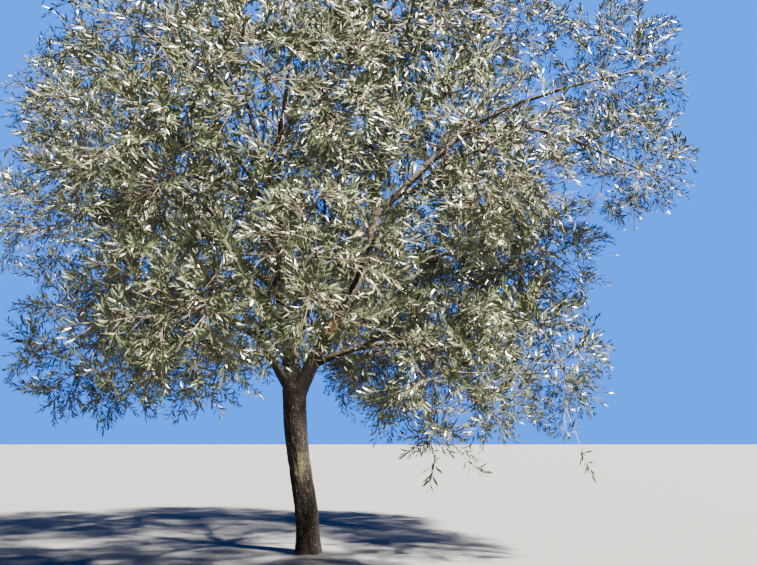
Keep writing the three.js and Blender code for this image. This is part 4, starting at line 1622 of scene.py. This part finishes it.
@dataclass
class Crown:
    """The twigs and leaves of every mass, and the young shoots on the limbs.

    At the back, from a place on Y, the shoots reach further out. Clumps and the hollows between
    them have a scale in folds a metre. Bare is the share of a twig below its leaves. Margins round
    the limbs and past the frame's box are in metres.
    """

    skeleton: Skeleton
    eye: Eye
    seed: int = 2718
    heads: tuple[str, ...] = (
        "right_arm", "centre_leader", "right_leader", "left_leader", "front_arm", "back_arm",
    )
    piece_limit: int = 190_000
    sprigs: TwigOrder = TwigOrder(
        density=40, inner=0.42, outer=0.88, backmost=-0.85, follow=0.3, arch=0.05,
        root=0.0036, tip=0.0018, sides=3, pieces=5,
    )
    shoots: TwigOrder = TwigOrder(
        density=590, inner=0.12, outer=1.0, backmost=-0.95, follow=0.34, arch=0.07,
        root=0.0018, tip=0.001, sides=3, pieces=2,
    )
    young: YoungShoots = YoungShoots()
    back_young: YoungShoots = YoungShoots(spacing=0.034, longest=0.62)
    back_from: float = 0.55
    back_outer: float = 1.1
    stem_sides: int = 7
    stem_pieces: int = 9
    twig_sides: int = 5
    twig_pieces: int = 6
    leaf: LeafRule = LeafRule()
    trail_leaf: LeafRule = LeafRule(length=0.085, internode=0.027)
    bare_sprig: float = 0.6
    bare_shoot: float = 0.25
    bare_young: float = 0.25
    tones: ToneRule = ToneRule()
    clearings: Clearings = Clearings()
    clump_scale: float = 4.2
    clump_floor: float = -0.42
    trails: tuple[Trail, ...] = (
        Trail("low_right_arm", (1.653, -0.9, 0.723), (1.7, -0.95, 0.567)),
        Trail("low_right_arm", (1.561, -0.85, 0.746), (1.629, -0.85, 0.827)),
        Trail("low_front_arm", (0.948, -1.25, 0.644), (1.036, -1.3, 0.584)),
        Trail("low_front_arm", (0.787, -1.25, 0.644), (0.75, -1.3, 0.533)),
    )
    young_limb: float = 0.019
    red_share: float = 0.3
    margin: float = 0.004
    edge: float = 0.01

    SPRIG_SEATS = np.linspace(0.25, 1, 7)
    STEM_SEATS = np.linspace(0.35, 1, 6)
    FIRST_SEATS = np.linspace(0.3, 1, 7)
    SHOOT_SEATS = np.linspace(0.2, 0.95, 6)

    def build(self) -> None:
        """Grows the masses, deals them out to pieces and adds those."""
        self.random = np.random.default_rng(self.seed)
        rows = [limb for limb in LIMBS if limb.leafy]
        self.masses = [Mass(limb, i, self.skeleton.lines[limb.name]) for i, limb in enumerate(rows)]
        grown = {mass.limb.name: self.grow(mass) for mass in self.masses}
        for limb in LIMBS:
            if limb.root * MM >= self.young_limb:
                self.dress(limb, grown.setdefault(limb.name, Growth([], [], [])))
        barks = [bark.value.build() for bark in TwigBark]
        sides = [finish.build() for tone in Tone for finish in LEAF_SIDES[tone]]
        for name, members in self.deal(grown).items():
            growth = Growth(*(
                [item for member in members for item in getattr(member, field.name)]
                for field in fields(Growth)
            ))
            nodes = tuple(f"{mass.limb.name}_foliage" for mass in growth.masses)
            add_piece(f"{name}_twigs", growth.twig_mesh(f"{name}_twigs"), barks)
            arrays = self.leaf.arrays(Leaves.joined(growth.leaves))
            mesh = joined_mesh(f"{name}_leaves", *arrays, smooth=False)
            add_piece(f"{name}_leaves", mesh, sides, nodes)

    def head_of(self, name: str) -> str:
        """The leader or arm that a limb grows from."""
        while name not in self.heads:
            name = self.skeleton.limbs[name].parent
        return name

    def deal(self, grown: dict[str, Growth]) -> dict[str, list[Growth]]:
        """Deals the masses out to pieces by the limb they grow from, none past the limit of faces."""
        groups: dict[str, list[Growth]] = {}
        for head in self.heads:
            members = [growth for name, growth in grown.items() if self.head_of(name) == head]
            faces = [self.leaf.faces * sum(map(len, member.leaves)) for member in members]
            parts = -(-sum(faces) // self.piece_limit)
            share = sum(faces) / parts
            for i, (member, before) in enumerate(zip(members, np.cumsum([0, *faces[:-1]]))):
                part = int((before + faces[i] / 2) // share)
                key = head if parts == 1 else f"{head}_{part + 1}"
                groups.setdefault(key, []).append(member)
        return groups

    def grow(self, mass: Mass) -> Growth:
        """Grows one mass: its stem, its first twigs, finer sprigs on those, and leafy shoots on all."""
        stem = mass.stem()
        firsts = mass.first_twigs(stem)
        sprigs = self.grow_order(mass, self.sprigs, Twigs.joined([stem, firsts]).nodes(self.SPRIG_SEATS))
        seats = (stem, self.STEM_SEATS), (firsts, self.FIRST_SEATS), (sprigs, self.SHOOT_SEATS)
        nodes = [np.concatenate(parts) for parts in zip(*(twigs.nodes(shares) for twigs, shares in seats))]
        outer = self.back_outer if mass.centre[1] > self.back_from else self.shoots.outer
        shoots = self.grow_order(mass, replace(self.shoots, outer=outer), nodes)
        shoots = shoots.kept(soft_noise(shoots.end, self.clump_scale) > self.clump_floor)
        leafy = (shoots, self.bare_shoot), (sprigs, self.bare_sprig)
        leaves = Leaves.joined([self.leaves_on(twigs, self.leaf, bare) for twigs, bare in leafy])
        growth = Growth([mass], [
            Wood(stem, self.stem_sides, self.stem_pieces, TwigBark.OLD),
            Wood(firsts, self.twig_sides, self.twig_pieces, TwigBark.OLD),
            Wood(sprigs, self.sprigs.sides, self.sprigs.pieces, TwigBark.YOUNG),
            Wood(shoots, self.shoots.sides, self.shoots.pieces, TwigBark.YOUNG),
        ], [leaves.kept(self.fitting(leaves))])
        for trail in self.trails:
            if trail.limb == mass.limb.name:
                hanging = trail.from_nearest(nodes[0])
                growth.woods.append(Wood(hanging, trail.SIDES, trail.PIECES, TwigBark.YOUNG))
                growth.leaves.append(self.leaves_on(hanging, self.trail_leaf, trail.BARE))
        return growth

    def dress(self, limb: Limb, growth: Growth) -> None:
        """Adds the young shoots of one limb to what has grown on it."""
        line = self.skeleton.lines[limb.name]
        rule = self.back_young if line[-1][1] > self.back_from else self.young
        shoots = rule.on(limb, line, self.random)
        free = self.skeleton.clear_of(shoots.end, self.margin) & ~self.in_opening(shoots.end)
        shoots = shoots.kept(free & ~self.clearings.bare(shoots.end, self.eye))
        leaves = self.leaves_on(shoots, self.leaf, self.bare_young)
        red = picked(self.random, self.red_share, len(shoots))
        for bark, mask in ((TwigBark.YOUNG, ~red), (TwigBark.RED, red)):
            growth.woods.append(Wood(shoots.kept(mask), rule.sides, rule.pieces, bark))
        growth.leaves.append(leaves.kept(self.fitting(leaves)))

    def leaves_on(self, twigs: Twigs, rule: LeafRule, bare: float) -> Leaves:
        """Sets leaves on twigs above their bare share, in tones of their own."""
        return rule.on(twigs, bare, self.tones.deal(twigs.end, self.eye, self.random), self.random)

    def grow_order(self, mass: Mass, order: TwigOrder, nodes: tuple[Array, Array]) -> Twigs:
        """Grows one order of twigs in a mass, within its space and clear of the openings."""
        ends = mass.targets(order)
        fits = mass.owns(ends, self.masses) & self.skeleton.clear_of(ends, self.margin) & self.in_box(ends)
        return mass.branch(nodes, order, ends[fits & ~self.in_opening(ends)])

    def in_box(self, points: Array) -> Array:
        """Which points lie inside the frame's box."""
        low, high = np.array(CAD_BOX) + np.array([[-self.edge], [self.edge]])
        return ((points > low) & (points < high)).all(axis=1)

    def in_opening(self, points: Array) -> Array:
        """Which points would hide the sky in one of the openings."""
        return self.clearings.sky(points, self.eye, self.random)

    def fitting(self, leaves: Leaves) -> Array:
        """Which leaves stay in the box, clear of the limbs, the openings and the limbs that show."""
        middle = leaves.root + leaves.ahead * leaves.length[:, None] / 2
        clear = self.in_box(leaves.tips()) & ~self.in_opening(middle)
        clear &= ~self.clearings.limbs(middle, self.eye, self.skeleton.lines, self.random)
        clear[np.flatnonzero(clear)] = self.skeleton.clear_of(middle[clear], self.margin)
        return clear


@dataclass(frozen=True)
class Studio:
    """The pale floor, the plain backdrop, the soft light all round and the key light, in metres.

    The backdrop's colour is that of its glow. The sun's angles are in degrees.
    """

    floor_size: float = 120
    floor_paint: str = "26282a"
    floor_drift: Pattern = Pattern(0.6, 2)
    floor_darker: float = 0.06
    floor_roughness: float = 0.9
    backdrop_size: tuple[float, float] = (110, 70)
    backdrop_colour: tuple[float, float, float, float] = (0.03, 0.43, 2.0, 1)
    fill_paint: str = "b8cdf0"
    fill: float = 0.1
    sun_energy: float = 165
    sun_angle: float = 3
    sun_azimuth: float = -38
    sun_rise: float = 58
    sun_paint: str = "fff3e2"

    def build(self) -> None:
        """Adds the floor, the backdrop and the light."""
        self.add_floor()
        self.add_backdrop()
        world = bpy.data.worlds.new("fill")
        world.use_nodes = True
        sky = world.node_tree.nodes["Background"]
        sky.inputs["Color"].default_value = paint(self.fill_paint)
        sky.inputs["Strength"].default_value = self.fill
        bpy.context.scene.world = world
        data = bpy.data.lights.new("key_light", "SUN")
        data.energy = self.sun_energy
        data.angle = math.radians(self.sun_angle)
        data.color = paint(self.sun_paint)[:3]
        towards = Vector(heading(self.sun_azimuth, self.sun_rise))
        add_object("key_light", data).rotation_euler = towards.to_track_quat("Z", "Y").to_euler()

    def add_sheet(self, name: str, matrix: Matrix, finish: bpy.types.Material) -> None:
        """Adds a flat sheet of the stage, made from a level square of one metre by a matrix."""
        bm = bmesh.new()
        bmesh.ops.create_grid(bm, x_segments=1, y_segments=1, size=0.5, matrix=matrix)
        sheet = add_object(name, mesh_from(name, bm))
        sheet.data.materials.append(finish)
        sheet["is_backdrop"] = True

    def add_backdrop(self) -> None:
        """Adds the backdrop, which glows evenly at the floor's far edge."""
        wide, high = self.backdrop_size
        place = Matrix.Translation((0, self.floor_size / 2, high / 2))
        upright = Matrix.Rotation(math.pi / 2, 4, "X")
        glow = Graph("backdrop_glow").finish(
            Base_Color=BLACK, Specular_IOR_Level=0.0,
            Emission_Color=self.backdrop_colour, Emission_Strength=1.0,
        )
        self.add_sheet("backdrop", place @ upright @ Matrix.Diagonal((wide, high, 1, 1)), glow)

    def add_floor(self) -> None:
        """Adds the floor."""
        graph = Graph("floor_paint")
        darker = graph.noise(graph.place(), self.floor_drift) * self.floor_darker
        colour = graph.blend(darker, paint(self.floor_paint), BLACK)
        finish = graph.finish(Base_Color=colour, Roughness=self.floor_roughness)
        self.add_sheet("floor", Matrix.Diagonal((self.floor_size, self.floor_size, 1, 1)), finish)


def main() -> None:
    """Builds the tree and its studio."""
    logging.basicConfig(level=logging.INFO, format="%(name)s %(message)s")
    eye = Eye()
    eye.add()
    Studio().build()
    skeleton = Skeleton(Trunk(), LIMBS)
    trunk_bark, bough_bark = SHADE_PAINTED_TRUNK_BARK.build(), BOUGH_BARK.build()
    frame_limbs = Frame(skeleton)
    add_piece("trunk_and_leaders", frame_limbs.build(), [trunk_bark], frame_limbs.members)
    for limb in LIMBS:
        if limb.name not in frame_limbs.members:
            mesh = Bough(skeleton, limb.name).build()
            add_piece(f"{limb.name}_bark", mesh, [bough_bark], (limb.name,))
    Crown(skeleton, eye).build()
    {"cad": CAD_BOX, "visual": [list(corner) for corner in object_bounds()]}


if __name__ == "__main__":
    main()
